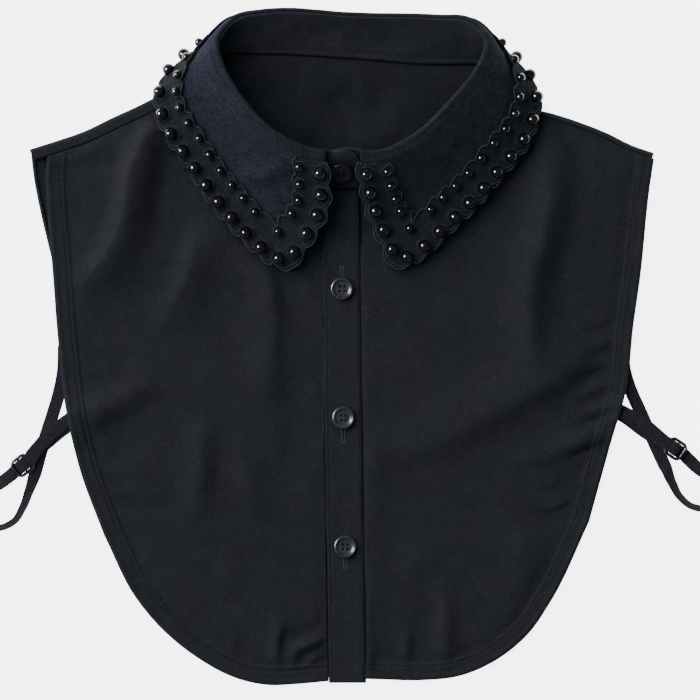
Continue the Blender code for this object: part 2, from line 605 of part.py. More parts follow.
def even_shares(side, depth, count):
    """Shares of the side stretch that make its scallops equally long."""
    start, end = side_reach(side, depth)
    shares = np.linspace(0, 1, 80)
    run = lengths_along(np.array([fall_point(start + (end - start) * t, depth) for t in shares]))
    return np.interp(np.linspace(0, run[-1], count + 1), run, shares)


def trim_top(side, depth):
    """How far from the free edge the trim starts, just under the fold's roll."""
    s = front_inset(section_length(0) - TRIM_BELOW_FOLD, depth, side)
    return section_length(s) - TRIM_BELOW_FOLD


def trim_point(side, column, depth, side_shares):
    """A place on the trim: column counts scallops from the fold, depth is from the free edge."""
    if column <= FRONT_SCALLOPS:
        narrowing = FRONT_NARROWING * (1 - column / FRONT_SCALLOPS)
        depth -= narrowing * max(depth - OUTER_BEADS_AT, 0)
        top = trim_top(side, depth)
        q = top + (depth - top) * column / FRONT_SCALLOPS
        return front_inset(q, depth, side), q
    share = np.interp(column - FRONT_SCALLOPS, np.arange(SIDE_SCALLOPS + 1), side_shares)
    start, end = side_reach(side, depth)
    return start + (end - start) * share, depth


def bead_dome(centre, normal, diameter):
    """A bead sewn down on the trim: a dome with its flat side inside the cloth."""
    bm = bmesh.new()
    bmesh.ops.create_uvsphere(bm, u_segments=8, v_segments=4, radius=diameter / 2 * MM)
    low = [v for v in bm.verts if v.co.z < -0.1 * diameter * MM]
    bmesh.ops.delete(bm, geom=low, context="VERTS")
    rim = [e for e in bm.edges if e.is_boundary]
    bmesh.ops.holes_fill(bm, edges=rim)
    side = unit(np.cross(normal, (0.0, 0.3, 1.0)))
    across = np.cross(normal, side)
    for vert in bm.verts:
        x, y, z = vert.co
        vert.co = x * side + y * across + z * normal + np.asarray(centre) * MM
    bmesh.ops.recalc_face_normals(bm, faces=bm.faces)
    mesh = bpy.data.meshes.new("bead")
    bm.to_mesh(mesh)
    bm.free()
    return mesh


def bead_places(side):
    """Outer and inner beads as (s, q, diameter); the corner's inner bead serves two scallops."""
    shares = even_shares(side, OUTER_BEADS_AT, SIDE_SCALLOPS)
    places = []
    for k in range(FRONT_SCALLOPS + SIDE_SCALLOPS):
        s, q = trim_point(side, k + 0.5, OUTER_BEADS_AT, shares)
        places.append((s, q, OUTER_BEAD))
        if k == FRONT_SCALLOPS:
            continue
        column = FRONT_SCALLOPS if k == FRONT_SCALLOPS - 1 else k + 0.5
        s, q = trim_point(side, column, INNER_BEADS_AT, shares)
        places.append((s, q, INNER_BEAD))
    return places


def beaded_trim(side, look, root):
    shares = even_shares(side, OUTER_BEADS_AT, SIDE_SCALLOPS)
    lower, upper = [], []
    steps = 3
    for n in range(steps * (FRONT_SCALLOPS + SIDE_SCALLOPS) + 1):
        column = n / steps
        low_row, high_row = [], []
        for depth in TRIM_DEPTHS:
            cut = scallop(column)
            shift = cut if depth == 0 else -cut if depth == TRIM_WIDTH else 0.0
            s, q = trim_point(side, column, depth + shift, shares)
            low_row.append(raised(s, q, TRIM_LIFT))
            high_row.append(raised(s, q, TRIM_LIFT + TRIM_WALL))
        lower.append(low_row)
        upper.append(high_row)
    trim = closed_wall(f"trim_{side}", lower, upper, look, root)
    domes = bmesh.new()
    for s, q, diameter in bead_places(side):
        normal = fall_normal(s, q)
        dome = bead_dome(raised(s, q, TRIM_LIFT + TRIM_WALL - BEAD_SINK), normal, diameter)
        domes.from_mesh(dome)
        bpy.data.meshes.remove(dome)
    mesh = bpy.data.meshes.new(f"beads_{side}")
    domes.to_mesh(mesh)
    domes.free()
    cutter = add_object(f"beads_{side}", mesh, look, root)
    cutter.hide_render = True
    cutter.display_type = "WIRE"
    join = trim.modifiers.new("Beads", "BOOLEAN")
    join.operation = "UNION"
    join.object = cutter
    return trim


def back_trim(look, root):
    """The plain stretch of trim that is tucked under the back of the neck."""
    s = back_columns()
    s[0], s[-1] = s[0] + TRIM_GAP, s[-1] - TRIM_GAP
    lower, upper = [], []
    for place in s:
        below, above = [], []
        for q in BACK_TRIM_DEPTHS:
            upright = 1.0 - abs(fall_normal(place, q)[2])
            lift = TRIM_LIFT + BACK_TRIM_STANDOFF * upright
            above.append(raised(place, q, lift))
            x, y, z = raised(place, q, lift + TRIM_WALL)
            below.append((x, y, max(z, 0.0)))
        lower.append(below)
        upper.append(above)
    return closed_wall("trim_back", lower, upper, look, root)


def button(name, centre, normal, look, root):
    """A four-hole button with a raised rim, turned from a profile."""
    radius, thick = BUTTON_DIAMETER / 2, BUTTON_THICKNESS
    profile = [(0.0, -thick / 2), (0.72 * radius, -thick / 2), (radius, -0.1 * thick),
               (radius, 0.25 * thick), (0.86 * radius, thick / 2), (0.68 * radius, 0.2 * thick),
               (0.0, 0.12 * thick)]
    bm = bmesh.new()
    verts = [bm.verts.new((r * MM, 0, z * MM)) for r, z in profile]
    edges = [bm.edges.new(pair) for pair in zip(verts, verts[1:])]
    bmesh.ops.spin(bm, geom=verts + edges, cent=(0, 0, 0), axis=(0, 0, 1), angle=2 * math.pi, steps=16)
    bmesh.ops.remove_doubles(bm, verts=bm.verts, dist=1e-6)
    bmesh.ops.recalc_face_normals(bm, faces=bm.faces)
    mesh = bpy.data.meshes.new(name)
    bm.to_mesh(mesh)
    bm.free()
    made = add_object(name, mesh, look, root)
    holes = bmesh.new()
    for x, y in ((1.25, 1.25), (-1.25, 1.25), (-1.25, -1.25), (1.25, -1.25)):
        made_hole = bmesh.ops.create_cone(holes, cap_ends=True, segments=6, radius1=0.75 * MM,
                                          radius2=0.75 * MM, depth=2 * thick * MM)
        bmesh.ops.translate(holes, verts=made_hole["verts"], vec=(x * MM, y * MM, 0))
    hole_mesh = bpy.data.meshes.new(f"{name}_holes")
    holes.to_mesh(hole_mesh)
    holes.free()
    cutter = add_object(f"{name}_holes", hole_mesh, look, root)
    cutter.hide_render = True
    cutter.display_type = "WIRE"
    tilt = math.atan2(-normal[1], normal[2])
    for part in (made, cutter):
        part.location = tuple(c * MM for c in centre)
        part.rotation_euler = (tilt, 0, 0)
    cut = made.modifiers.new("Holes", "BOOLEAN")
    cut.operation = "DIFFERENCE"
    cut.object = cutter
    return made


def stand_button(look, root):
    x, share = STAND_BUTTON
    seam, top = (np.array(v, float) for v in (LAPPED_OVER[2].seam, LAPPED_OVER[2].top))
    up = unit(top - seam)
    normal = np.array([0.0, -up[2], up[1]])
    height = STAND_WALL / 2 + GAP + BUTTON_THICKNESS / 2
    centre = seam + (top - seam) * share + normal * height
    centre[0] = x
    return button("button_stand", centre, normal, look, root)


def strap_section(points, count, name, look, root):
    """Flat elastic swept along its middle line, turning with its twist."""
    line = smooth_line([(p.x, p.y, p.z, p.turn) for p in points], count)
    lower, upper = [], []
    for k, (x, y, z, turn) in enumerate(line):
        ahead, behind = line[min(k + 1, count - 1)], line[max(k - 1, 0)]
        along = unit(ahead[:2] - behind[:2])
        flat = np.array([-along[1], along[0], 0.0])
        angle = math.radians(turn)
        across = math.cos(angle) * flat + math.sin(angle) * np.array([0, 0, 1.0])
        normal = math.cos(angle) * np.array([0, 0, 1.0]) - math.sin(angle) * flat
        half, thick = across * WEBBING / 2, normal * WEBBING_THICKNESS / 2
        middle = np.array([x, y, z])
        middle[2] = max(z, abs(half[2]) + abs(thick[2]) + 0.05)
        lower.append([middle - half - thick, middle + half - thick])
        upper.append([middle - half + thick, middle + half + thick])
    return closed_wall(name, lower, upper, look, root)


def slide(side, look, root):
    """A two-window slide: a flat frame with a bar across its middle."""
    (x, y, z), angle = SLIDES[side]
    width, length, thick = SLIDE_SIZE
    bm = bmesh.new()
    bmesh.ops.create_cube(bm, size=1.0)
    bmesh.ops.scale(bm, vec=(length * MM, width * MM, thick * MM), verts=bm.verts)
    upright = [e for e in bm.edges if abs(e.verts[0].co.z - e.verts[1].co.z) > thick * MM / 2]
    bmesh.ops.bevel(bm, geom=upright, offset=1.6 * MM, segments=3, affect="EDGES", profile=0.5)
    mesh = bpy.data.meshes.new(f"slide_{side}")
    bm.to_mesh(mesh)
    bm.free()
    made = add_object(f"slide_{side}", mesh, look, root)
    windows = bmesh.new()
    for centre in (-0.235, 0.235):
        made_box = bmesh.ops.create_cube(windows, size=1.0)
        verts = made_box["verts"]
        size = (0.27 * length * MM, (width - SLIDE_RAILS) * MM, 3 * thick * MM)
        bmesh.ops.scale(windows, vec=size, verts=verts)
        bmesh.ops.translate(windows, vec=(centre * length * MM, 0, 0), verts=verts)
    hole_mesh = bpy.data.meshes.new(f"slide_{side}_windows")
    windows.to_mesh(hole_mesh)
    windows.free()
    cutter = add_object(f"slide_{side}_windows", hole_mesh, look, root)
    cutter.hide_render = True
    cutter.display_type = "WIRE"
    for part in (made, cutter):
        part.location = (x * MM, y * MM, z * MM)
        part.rotation_euler = (0, 0, math.radians(angle))
    cut = made.modifiers.new("Windows", "BOOLEAN")
    cut.operation = "DIFFERENCE"
    cut.object = cutter
    return made


def straps(side, look, root):
    loop = LEFT_LOOP if side == "left" else RIGHT_LOOP
    strap_section(loop, LOOP_SECTIONS, f"strap_loop_{side}", look, root)
    for layer, level in TAB_LEVELS.items():
        points = [StrapPoint(x, y, level, 0) for x, y in TABS[side][layer]]
        strap_section(points, TAB_SECTIONS, f"strap_tab_{layer}_{side}", look, root)


def main():
    for old in list(bpy.data.objects):
        bpy.data.objects.remove(old, do_unlink=True)
    root = bpy.data.objects.new("collar_origin", None)
    bpy.context.scene.collection.objects.link(root)
    root.location = tuple(c * MM for c in CENTRE_SHIFT)

    crepe = material("black_crepe", (0.016, 0.018, 0.022), 0.85)
    satin = material("collar_satin", (0.014, 0.016, 0.022), 0.6)
    lace = material("embroidered_trim", (0.008, 0.008, 0.010), 0.8)
    gloss = material("button_plastic", (0.01, 0.01, 0.012), 0.25)
    elastic = material("elastic", (0.02, 0.02, 0.024), 0.8)
    metal = material("slide_metal", (0.25, 0.25, 0.27), 0.3, 1.0)

    back_panel(crepe, root)
    front_panel("left", crepe, root)
    front_panel("right", crepe, root)
    placket(crepe, root)
    collar_stand(satin, root)
    collar_fall(satin, root)
    beaded_trim("left", lace, root)
    beaded_trim("right", lace, root)
    back_trim(lace, root)
    centre_x = [p[0] + PLACKET_WIDTH / 2 for p in PLACKET_LEFT]
    for number, y in enumerate(BUTTON_ROWS, start=1):
        x = float(np.interp(-y, [-p[1] for p in PLACKET_LEFT], centre_x))
        z = placket_top(y) + GAP + BUTTON_THICKNESS / 2
        button(f"button_{number}", (x, y, z), (0, 0, 1), gloss, root)
    stand_button(gloss, root)
    for side in ("left", "right"):
        straps(side, elastic, root)
        slide(side, metal, root)
    bpy.context.view_layer.update()


main()
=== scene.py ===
import math
from collections import namedtuple

import bpy
import numpy as np
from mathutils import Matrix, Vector, kdtree


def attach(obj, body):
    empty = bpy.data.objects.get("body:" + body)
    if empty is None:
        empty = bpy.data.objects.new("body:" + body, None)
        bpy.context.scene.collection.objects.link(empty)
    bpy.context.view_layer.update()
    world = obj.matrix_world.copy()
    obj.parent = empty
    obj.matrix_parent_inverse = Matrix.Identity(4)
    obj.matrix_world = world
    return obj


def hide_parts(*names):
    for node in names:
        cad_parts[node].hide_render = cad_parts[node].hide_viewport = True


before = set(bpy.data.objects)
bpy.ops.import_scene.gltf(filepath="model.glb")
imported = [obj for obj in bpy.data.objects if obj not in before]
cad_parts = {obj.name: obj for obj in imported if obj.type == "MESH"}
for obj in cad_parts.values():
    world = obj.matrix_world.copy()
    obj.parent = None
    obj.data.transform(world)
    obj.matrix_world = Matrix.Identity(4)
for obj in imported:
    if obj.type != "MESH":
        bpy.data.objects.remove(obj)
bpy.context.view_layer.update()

MM = 0.001
CENTRE_SHIFT = np.array([-0.15, -1.67, 0.0])

# ---------------------------------------------------------------- sizes

GAP = 0.3
CREPE = 1.2                 # the solids' wall; the thinner cloth lies within it
STAND_WALL = 1.6
FALL_WALL = 1.4
TRIM_WALL = 1.0
FOLD_RADIUS = 1.5
STAND_TOP_GAP = 0.1
PLACKET_WALL = 1.4
PLACKET_WIDTH = 18.5
SIDES = ("left", "right")
SEAM_WRAP = {"left": 6.0, "right": 2.6}
CLOTH = 0.55                # a single layer of crepe

SCALLOP_DEPTH = 2.2
OUTER_BEADS_AT = 5.8
INNER_BEADS_AT = 18.0
TRIM_WIDTH = 22.5
FALL_EDGE_AT = 3.0
TRIM_BELOW_FOLD = math.pi * FOLD_RADIUS + 3.5
OUTER_BEAD = 6.2
INNER_BEAD = 4.4
BACK_TRIM_STANDOFF = 0.8
TRIM_GAP = 0.6
FRONT_SCALLOPS = 5
SIDE_SCALLOPS = 13
FRONT_NARROWING = 0.2
TRIM_LIFT = FALL_WALL / 2 + TRIM_GAP

BUTTON_DIAMETER = 11.5
BUTTON_THICKNESS = 2.4
BUTTON_RISE = 0.35          # over the placket
WEBBING = 6.5

HEM = 7.9                   # from the edge to the topstitching
HEM_ROLL = 0.9              # radius of the rolled hem at the left armhole
STITCH, STITCH_PITCH, THREAD = 1.9, 2.6, 0.22

Section = namedtuple("Section", "seam fold belly edge")
COLLAR = [Section(*row) for row in [
    ((-9, 80.6, 6.6), (-6.8, 98.5, 24.5), (-6.8, 71, 15), (-25.5, 37.5, 6.0)),
    ((-19, 82.0, 6.2), (-18.0, 100, 24.8), (-26.5, 70, 12), (-36.5, 40.5, 5.5)),
    ((-40, 92.0, 6.0), (-37.5, 110, 25.7), (-49, 83, 10.5), (-58.5, 60.0, 5.2)),
    ((-60, 113.5, 6.0), (-54, 128, 26.8), (-68.5, 106, 12.5), (-77.5, 86.7, 5.2)),
    ((-71.5, 131, 6.0), (-62.3, 143.5, 27.0), (-81.5, 128.5, 14.5), (-93.5, 114.5, 5.2)),
    ((-73.5, 137, 5.7), (-63.9, 149.5, 26.8), (-81.5, 135.5, 14.5), (-94.5, 127.0, 5.0)),
    ((-71.5, 142, 5.5), (-64.0, 155, 26.0), (-76.0, 144.5, 13.5), (-87.5, 136, 2.6)),
    ((-66.0, 145.5, 5.1), (-61.0, 160, 24.8), (-68.5, 152.5, 12.0), (-78, 143.5, 2.0)),
    ((-58.0, 147.3, 4.9), (-55.0, 166, 22.5), (-58.5, 161.3, 9.0), (-63, 147, 2.0)),
    ((-44.0, 147.3, 4.8), (-42.0, 168.8, 20.5), (-43.5, 166.6, 8.0), (-45, 144.5, 2.0)),
    ((5.5, 144.7, 4.7), (5.5, 167.3, 19.0), (5.5, 165.4, 7.0), (5.5, 142.0, 2.0)),
    ((47.0, 141.8, 4.8), (47.0, 166.2, 20.5), (48.5, 164.2, 8.0), (50, 141.6, 2.0)),
    ((64.0, 142.0, 4.9), (61.0, 165, 22.5), (64.8, 160.3, 9.0), (69.5, 146.0, 2.0)),
    ((72.0, 141.0, 5.1), (67.5, 160, 24.8), (72.5, 153.5, 12.0), (82, 142.5, 2.0)),
    ((77.0, 137.0, 5.5), (70.5, 154, 26.0), (80.5, 143.5, 13.5), (90.5, 133, 2.6)),
    ((78.0, 132.0, 5.7), (68.8, 147, 26.8), (84.5, 133.5, 14.5), (96.0, 122, 5.0)),
    ((75.0, 126.5, 6.0), (65.0, 139.5, 27.0), (82.5, 123.5, 14.5), (94.0, 108.5, 5.2)),
    ((58.0, 109.0, 6.0), (51.5, 122.5, 26.8), (65, 101, 12.5), (74.5, 80.5, 5.2)),
    ((36.0, 90.0, 6.0), (32.0, 105, 25.7), (44, 80, 10.5), (53.5, 58.0, 5.2)),
    ((14.5, 82.0, 6.2), (13.0, 98, 24.8), (22.5, 69.5, 11), (32.0, 40.5, 5.5)),
    ((5.0, 81.0, 6.6), (4.2, 99.5, 24.5), (7.8, 72, 13), (21.5, 38.5, 6.0)),
]]
LEFT_POINT, RIGHT_POINT = 0, len(COLLAR) - 1
LEFT_SHOULDER, RIGHT_SHOULDER = 4, 16
LEFT_LAST_BEAD, RIGHT_LAST_BEAD = 7.0, 13.0

StandEnd = namedtuple("StandEnd", "seam top")
LAPPED_OVER = [
    StandEnd((8.6, 80.0, 7.2), (8.2, 92.0, 17.9)),
    StandEnd((4.5, 79.9, 7.2), (4.6, 97.0, 22.3)),
    StandEnd((-1.0, 80.0, 7.2), (-1.0, 98.9, 24.0)),
]
LAPPED_UNDER = [
    StandEnd((-1.0, 81.9, 5.3), (-1.0, 99.9, 21.7)),
    StandEnd((-8.5, 82.5, 4.9), (-8.3, 98.3, 19.9)),
]

LEFT_SHOULDER_LINE = [(-75.5, 134), (-95, 125.5), (-104, 121), (-117, 115), (-130.5, 108.5),
                      (-149.5, 102)]
RIGHT_SHOULDER_LINE = [(78, 126), (92, 120.5), (109, 115.5), (129.3, 108), (143.8, 101), (154, 97.5)]
LEFT_SIDE = [(-149.5, 102), (-150, 89), (-149.5, 73.5), (-146.8, 40), (-143.5, -1), (-139.5, -33.5),
             (-133, -61), (-121, -93.5)]
LEFT_HEM = [(-121, -93.5), (-105, -125), (-92.5, -140), (-78, -152.3), (-50.3, -166.5), (-39, -168.5),
            (-24.5, -168), (-8.6, -166.5)]
RIGHT_SIDE = [(154, 97.5), (152, 81.5), (147, 34.5), (143.8, 12), (140, -21), (133, -45.5), (121.5, -87)]
RIGHT_HEM = [(121.5, -87), (102.5, -126.5), (91.5, -142.5), (79, -153.5), (54.5, -164.5), (40, -166),
             (12.5, -165.5), (-6.8, -165)]
LEFT_INNER = [(-12.5, 79.3), (-11.7, 40), (-10.6, -60)]
RIGHT_INNER = [(-8.5, 80.6), (-7.8, 40), (-7.2, -60)]
BACK_LEFT_ARMHOLE = [(-157.5, 97.5), (-156.2, 86), (-153.5, 71.5), (-148, 48)]
BACK_RIGHT_ARMHOLE = [(149.0, 75)]
BACK_HEM_MIDDLE = [(-38, -164.5), (0, -163.5), (38, -163)]
BACK_SIDE_INSET = 7.5
BACK_HEM_INSET = 3.0

PLACKET_LEFT = [(-12.2, 79), (-11.4, 40), (-10.3, -60), (-8.4, -167.4)]
BUTTON_ROWS = [29.6, -34.8, -99.3]
STAND_BUTTON = (-2.4, 0.47)
BUTTONHOLES = [34.0, -40.5, -103.5]     # middle of each buttonhole
BUTTONHOLE_LENGTH = 13.5

# Soft ridges and troughs of the fronts: points (x, y, height) along each, and how wide it is on the left
# and on the right as the line is followed.
Crease = namedtuple("Crease", "path left right")
LEFT_CREASES = [Crease(*row) for row in [
    ([(-95, 114, 0.8), (-99, 106, 3.8), (-104, 96, 5), (-108, 84, 5.3), (-110, 70, 5.3), (-114, 57, 5),
      (-121, 44, 4.2), (-130, 33, 2.2), (-137, 25, 0.4)], 13, 6.5),
    ([(-88, 104, -0.3), (-89, 92, -1), (-91, 80, -1.2), (-95, 66, -1), (-100, 52, -0.3)], 7, 8),
    ([(-74, 88, 0.6), (-72, 78, 2.8), (-73, 66, 3.6), (-75, 53, 3.8), (-78, 40, 3.6), (-82, 29, 3),
      (-88, 18, 1.8), (-94, 8, 0.5)], 14, 5.5),
    ([(-41, 42, 0.6), (-38, 28, 1.8), (-37, 8, 1.8), (-38, -12, 1.5), (-41, -27, 0.4)], 6, 10),
    ([(-34, 41, -0.6), (-27, 30, -2.2), (-20, 18, -2.2), (-13, 5, -0.8)], 4, 7),
    ([(-132, -35, 0.8), (-123, -31, 2.6), (-112, -26, 2.4), (-103, -20, 1.4), (-94, -14, 0.3)], 7, 7.5),
    ([(-71, -34, 0.4), (-72, -46, 2), (-73, -60, 2.3), (-74, -74, 1.8), (-74, -86, 0.4)], 7, 8),
    ([(-53, -45, 0.2), (-50, -60, 1.1), (-46, -75, 1.2), (-42, -90, 0.3)], 7, 7),
    ([(-25, -10, -0.5), (-20, -24, -2.2), (-17.5, -40, -2.6), (-19, -54, -2.4), (-25, -65, -0.8)], 4, 10),
    ([(-58, -100, 0.2), (-59, -112, 0.8), (-58, -124, 0.2)], 6, 6),
    ([(-34, -158, 0.6), (-34.5, -150, 1.5), (-33, -141, 1.2), (-31, -135, 0.3)], 3.4, 2.2),
    ([(-26, -158, 0.8), (-25.5, -152, 1.9), (-20, -148.5, 2.2), (-9, -146, 1.4)], 3.4, 2.4),
    ([(-21, -158.5, 0.6), (-15, -155, 1.3), (-9.5, -152.5, 0.9)], 2.4, 2.0),
    ([(-30, -146, -0.9), (-18, -142.5, -1.5), (-9, -139, -0.9)], 3, 3),
    ([(-52, -158, -0.6), (-51.5, -150, -1.5), (-51.5, -143, -0.5)], 3, 3),
    ([(-104, -100, -0.8), (-110, -97, -1), (-101, -95, -0.4)], 3.5, 3.5),
    ([(-136, 10, -0.7), (-129, 6, -1.3), (-126, -2, -1.1), (-126, -9, -0.4)], 3.5, 3.5),
    ([(-123, -54, -0.8), (-116, -55, -0.9), (-108, -55, -0.3)], 2.8, 2.8),
    ([(-122, -65, -1), (-115, -66, -0.8), (-109, -66, -0.2)], 2.8, 2.8),
    ([(-118, -78, -0.6), (-105, -79, -1), (-90, -79, -0.5), (-80, -78, -0.1)], 4, 4),
    ([(-146, 96, 0.4), (-136, 97, 0.9), (-126, 101, 0.9), (-118, 105, 0.2)], 3.5, 3),
    ([(-141, 84, -0.4), (-136, 79, -0.9), (-134, 70, -0.9), (-135, 60, -0.3)], 4.5, 4.5),
    ([(-144, 52, 0.3), (-137, 47, 0.8), (-131, 45, 0.2)], 3, 3),
]]
RIGHT_CREASES = [Crease(*row) for row in [
    ([(98, 104, 0.8), (101, 94, 3), (102.5, 82, 4.8), (101.5, 69, 5.6), (98, 56, 5.8), (94.5, 44, 5.6),
      (92.5, 31, 5), (91.5, 16, 4.2), (93, 1, 3), (97, -12, 0.8)], 9, 9.5),
    ([(104, 115, -0.4), (110, 107, -1.4), (117, 98, -1.4), (121, 90, -0.4)], 4.5, 4.5),
    ([(122, 111, 0.4), (130, 104, 1.2), (139, 96, 1.2), (146, 84, 0.8), (146, 70, 0.3)], 6, 6),
    ([(139, 10, -0.4), (130, 8.5, -1), (120, 7, -0.4)], 3, 3),
    ([(138, -1, -0.6), (130, -3, -1.2), (121, -4, -0.3)], 2.6, 2.6),
    ([(136, -12, -0.9), (127, -13.5, -1.5), (117, -16, -0.7)], 3, 3),
    ([(135, -23, -0.9), (127, -24.5, -1.5), (119, -28, -0.6)], 3, 3),
    ([(133, -33, -0.7), (125, -35.5, -1.3), (117, -39, -0.5)], 3, 3),
    ([(124, 2, 0.6), (112, -7, 2.6), (103, -15, 3), (90, -22.5, 2.7), (76, -30, 2.5), (62, -37.5, 2.2),
      (48, -45, 1.9), (30, -51, 1.4), (12, -54, 1.0)], 9, 15),
    ([(131, -43, 0.5), (120, -46, 1.4), (108, -50, 1.4), (95, -54, 1), (80, -58, 0.3)], 5, 6),
    ([(129, -50, -1.2), (122, -52.5, -1.3), (114, -54, -0.5)], 2.8, 2.8),
    ([(125, -60, -1.4), (119, -65, -2.4), (111, -70, -2), (104, -72, -0.5)], 4.2, 4.2),
    ([(121, -75, -1), (114, -82, -2.2), (106, -87, -2.4), (97, -87.5, -1.6), (88, -86, -0.5)], 4.5, 5.5),
    ([(119, -72, 0.5), (109, -77.5, 0.9), (98, -80, 0.4)], 4, 4),
    ([(39, -126, -0.3), (39.5, -137, -1.3), (39, -149, -1.5), (38, -158, -0.9)], 4, 4),
    ([(48, -120, 0.3), (49.5, -132, 1.6), (49.5, -146, 1.8), (49, -158, 0.9)], 5.5, 4.5),
    ([(30, -138, 0.2), (30, -148, 0.8), (29.5, -158, 0.5)], 3, 3),
    ([(25, -150, -0.4), (24.5, -158, -0.8)], 2.5, 2.5),
    ([(17, -151, -0.3), (15, -158, -0.7)], 2.2, 2.2),
    ([(28, -120, 0.2), (31, -112, 0.7), (38, -104, 0.7), (46, -98, 0.2)], 7, 7),
    ([(85, -92, 0.2), (88, -102, 0.9), (86, -114, 0.9), (80, -124, 0.2)], 8, 8),
]]
# The collar's left leaf bends along soft lines.
LEAF_CREASES = [Crease(*row) for row in [
    ([(-52, 83, 0.4), (-43, 86, 1.1), (-33, 90, 1.1), (-22, 94.5, 0.4)], 6, 4.5),
    ([(-41, 78, 0.3), (-36, 73, 0.7), (-33, 66, 0.3)], 4, 4),
]]

Front = namedtuple("Front", "shoulder side hem inner neck_sections creases")
FRONTS = {
    "left": Front(LEFT_SHOULDER_LINE, LEFT_SIDE, LEFT_HEM, LEFT_INNER, (LEFT_POINT, LEFT_SHOULDER),
                  LEFT_CREASES),
    "right": Front(RIGHT_SHOULDER_LINE, RIGHT_SIDE, RIGHT_HEM, RIGHT_INNER, (RIGHT_SHOULDER, RIGHT_POINT),
                   RIGHT_CREASES),
}

StrapPoint = namedtuple("StrapPoint", "x y z turn")
LOOPS = {side: [StrapPoint(*row) for row in rows] for side, rows in {
    "left": [
        (-140.9, 1, 0.6, 0), (-141.4, -11.9, 0.6, 0), (-143.5, -22.6, 0.6, 0), (-146.4, -32.5, 0.6, 0),
        (-149.8, -43, 0.6, 0), (-152.8, -53, 0.6, 0), (-154.4, -59, 0.6, 3), (-156.2, -65, 1.6, 26),
        (-158.6, -72, 2.6, 48), (-161.7, -80, 3.1, 58), (-165.8, -86.5, 3.2, 62), (-172, -89.7, 3.2, 62),
        (-181, -89.7, 3.2, 62), (-188.5, -85.5, 3.2, 62), (-191.6, -79, 3.2, 62), (-187.5, -73.3, 3.0, 58),
        (-181, -71, 2.4, 40), (-174, -68.3, 1.4, 16), (-167, -63.2, 0.8, 0),
    ],
    "right": [
        (138.6, 1, 0.6, 0), (139.2, -10.7, 0.6, 0), (141.8, -19.7, 0.6, 0), (146.2, -29.7, 0.6, 0),
        (150.8, -40, 0.6, 0), (154.6, -48.5, 0.6, 0), (157.8, -55.5, 0.6, -3), (160.4, -61, 1.6, -26),
        (163.3, -68, 2.6, -48), (167.3, -74.8, 3.1, -58), (172.5, -79, 3.2, -62), (179, -80.4, 3.2, -62),
        (186, -79.3, 3.2, -62), (191, -75, 3.2, -62), (191.8, -69.3, 3.2, -60), (187.5, -65.5, 2.8, -50),
        (182, -63.6, 2.2, -34), (176, -60.2, 1.2, -14), (170.1, -54.6, 0.8, 0),
    ],
}.items()}
# The doubled stretch from under the front panel's edge to the slide: its two layers lie a little apart.
TABS = {
    "left": {"lower": [(-133.5, -35.6), (-139.5, -39.3), (-151.2, -48.8), (-157, -53.7)],
             "upper": [(-134, -32.8), (-139, -36.2), (-148.4, -43.8), (-157, -53.4)]},
    "right": {"lower": [(133, -30.8), (139, -34.2), (152, -43.5), (159, -46.9)],
              "upper": [(133.5, -29.5), (139, -32.4), (147.5, -37.2), (159, -46.6)]},
}
TAB_LEVELS = {"lower": 2.2, "upper": 3.4}
STRAP_LIFTS_AT = [(-136.5, -35.5), (135.5, -31)]    # where the tabs pass under the fronts' edges
SLIDE_SIZE = (10.5, 10.2)   # along the strap and across it
SLIDES = {"left": ((-161.8, -58.7, 2.8), 219), "right": ((164.6, -50.4, 2.8), -34)}


# ---------------------------------------------------------------- curves and noise

SMALL = 1e-12


def lay(points):
    """Points in millimetres as metres in the shared frame."""
    return (np.asarray(points, float) + CENTRE_SHIFT) * MM


def unit(vectors):
    vectors = np.asarray(vectors, float)
    return vectors / np.maximum(np.linalg.norm(vectors, axis=-1, keepdims=True), SMALL)


def ease(t):
    t = np.clip(t, 0.0, 1.0)
    return t * t * (3 - 2 * t)


def bell(distance, width):
    return np.exp(-(distance / width) ** 2)


def rounded(distance, radius):
    """Height share of a rounded edge: 0 at the edge, 1 a radius further in."""
    t = np.clip(distance / radius, 0, 1)
    return np.sqrt(1 - (1 - t) ** 2)


def turns(count):
    """Angles evenly round a circle."""
    return np.linspace(0, 2 * math.pi, count, endpoint=False)


def spline(knots, values, at):
    """A smooth curve through the values, one at each knot, read at the given places."""
    knots, values, at = np.asarray(knots, float), np.asarray(values, float), np.asarray(at, float)
    step = np.diff(knots)[:, None]
    slope = np.diff(values, axis=0) / step
    inner = (slope[1:] * step[:-1] + slope[:-1] * step[1:]) / (step[1:] + step[:-1])
    tangent = np.vstack([slope[:1], inner, slope[-1:]])
    i = np.clip(np.searchsorted(knots, at, side="right") - 1, 0, len(knots) - 2)
    h = step[i]
    t = ((at - knots[i])[:, None]) / h
    return ((2 * t**3 - 3 * t**2 + 1) * values[i] + (t**3 - 2 * t**2 + t) * h * tangent[i]
            + (3 * t**2 - 2 * t**3) * values[i + 1] + (t**3 - t**2) * h * tangent[i + 1])


def lengths_along(points):
    return np.concatenate([[0.0], np.cumsum(np.linalg.norm(np.diff(points, axis=0), axis=1))])


def read_along(at, run, points):
    """A line's points at the given places of its run."""
    return np.stack([np.interp(at, run, column) for column in points.T], 1)


def at_shares(points, shares):
    """Points at the given shares of a line's length."""
    run = lengths_along(points)
    return read_along(shares * run[-1], run, points)


def evenly(points, count):
    return at_shares(points, np.linspace(0, 1, count))


def smooth_line(points, count):
    """Evenly spaced points on the smooth curve through the given ones."""
    points = np.asarray(points, float)
    knots = lengths_along(points)
    return evenly(spline(knots, points, np.linspace(0, knots[-1], 40 * len(points))), count)


def softened(line, times):
    """A line whose inner points are drawn towards their neighbours."""
    for _ in range(times):
        line[1:-1] = 0.25 * line[:-2] + 0.5 * line[1:-1] + 0.25 * line[2:]
    return line


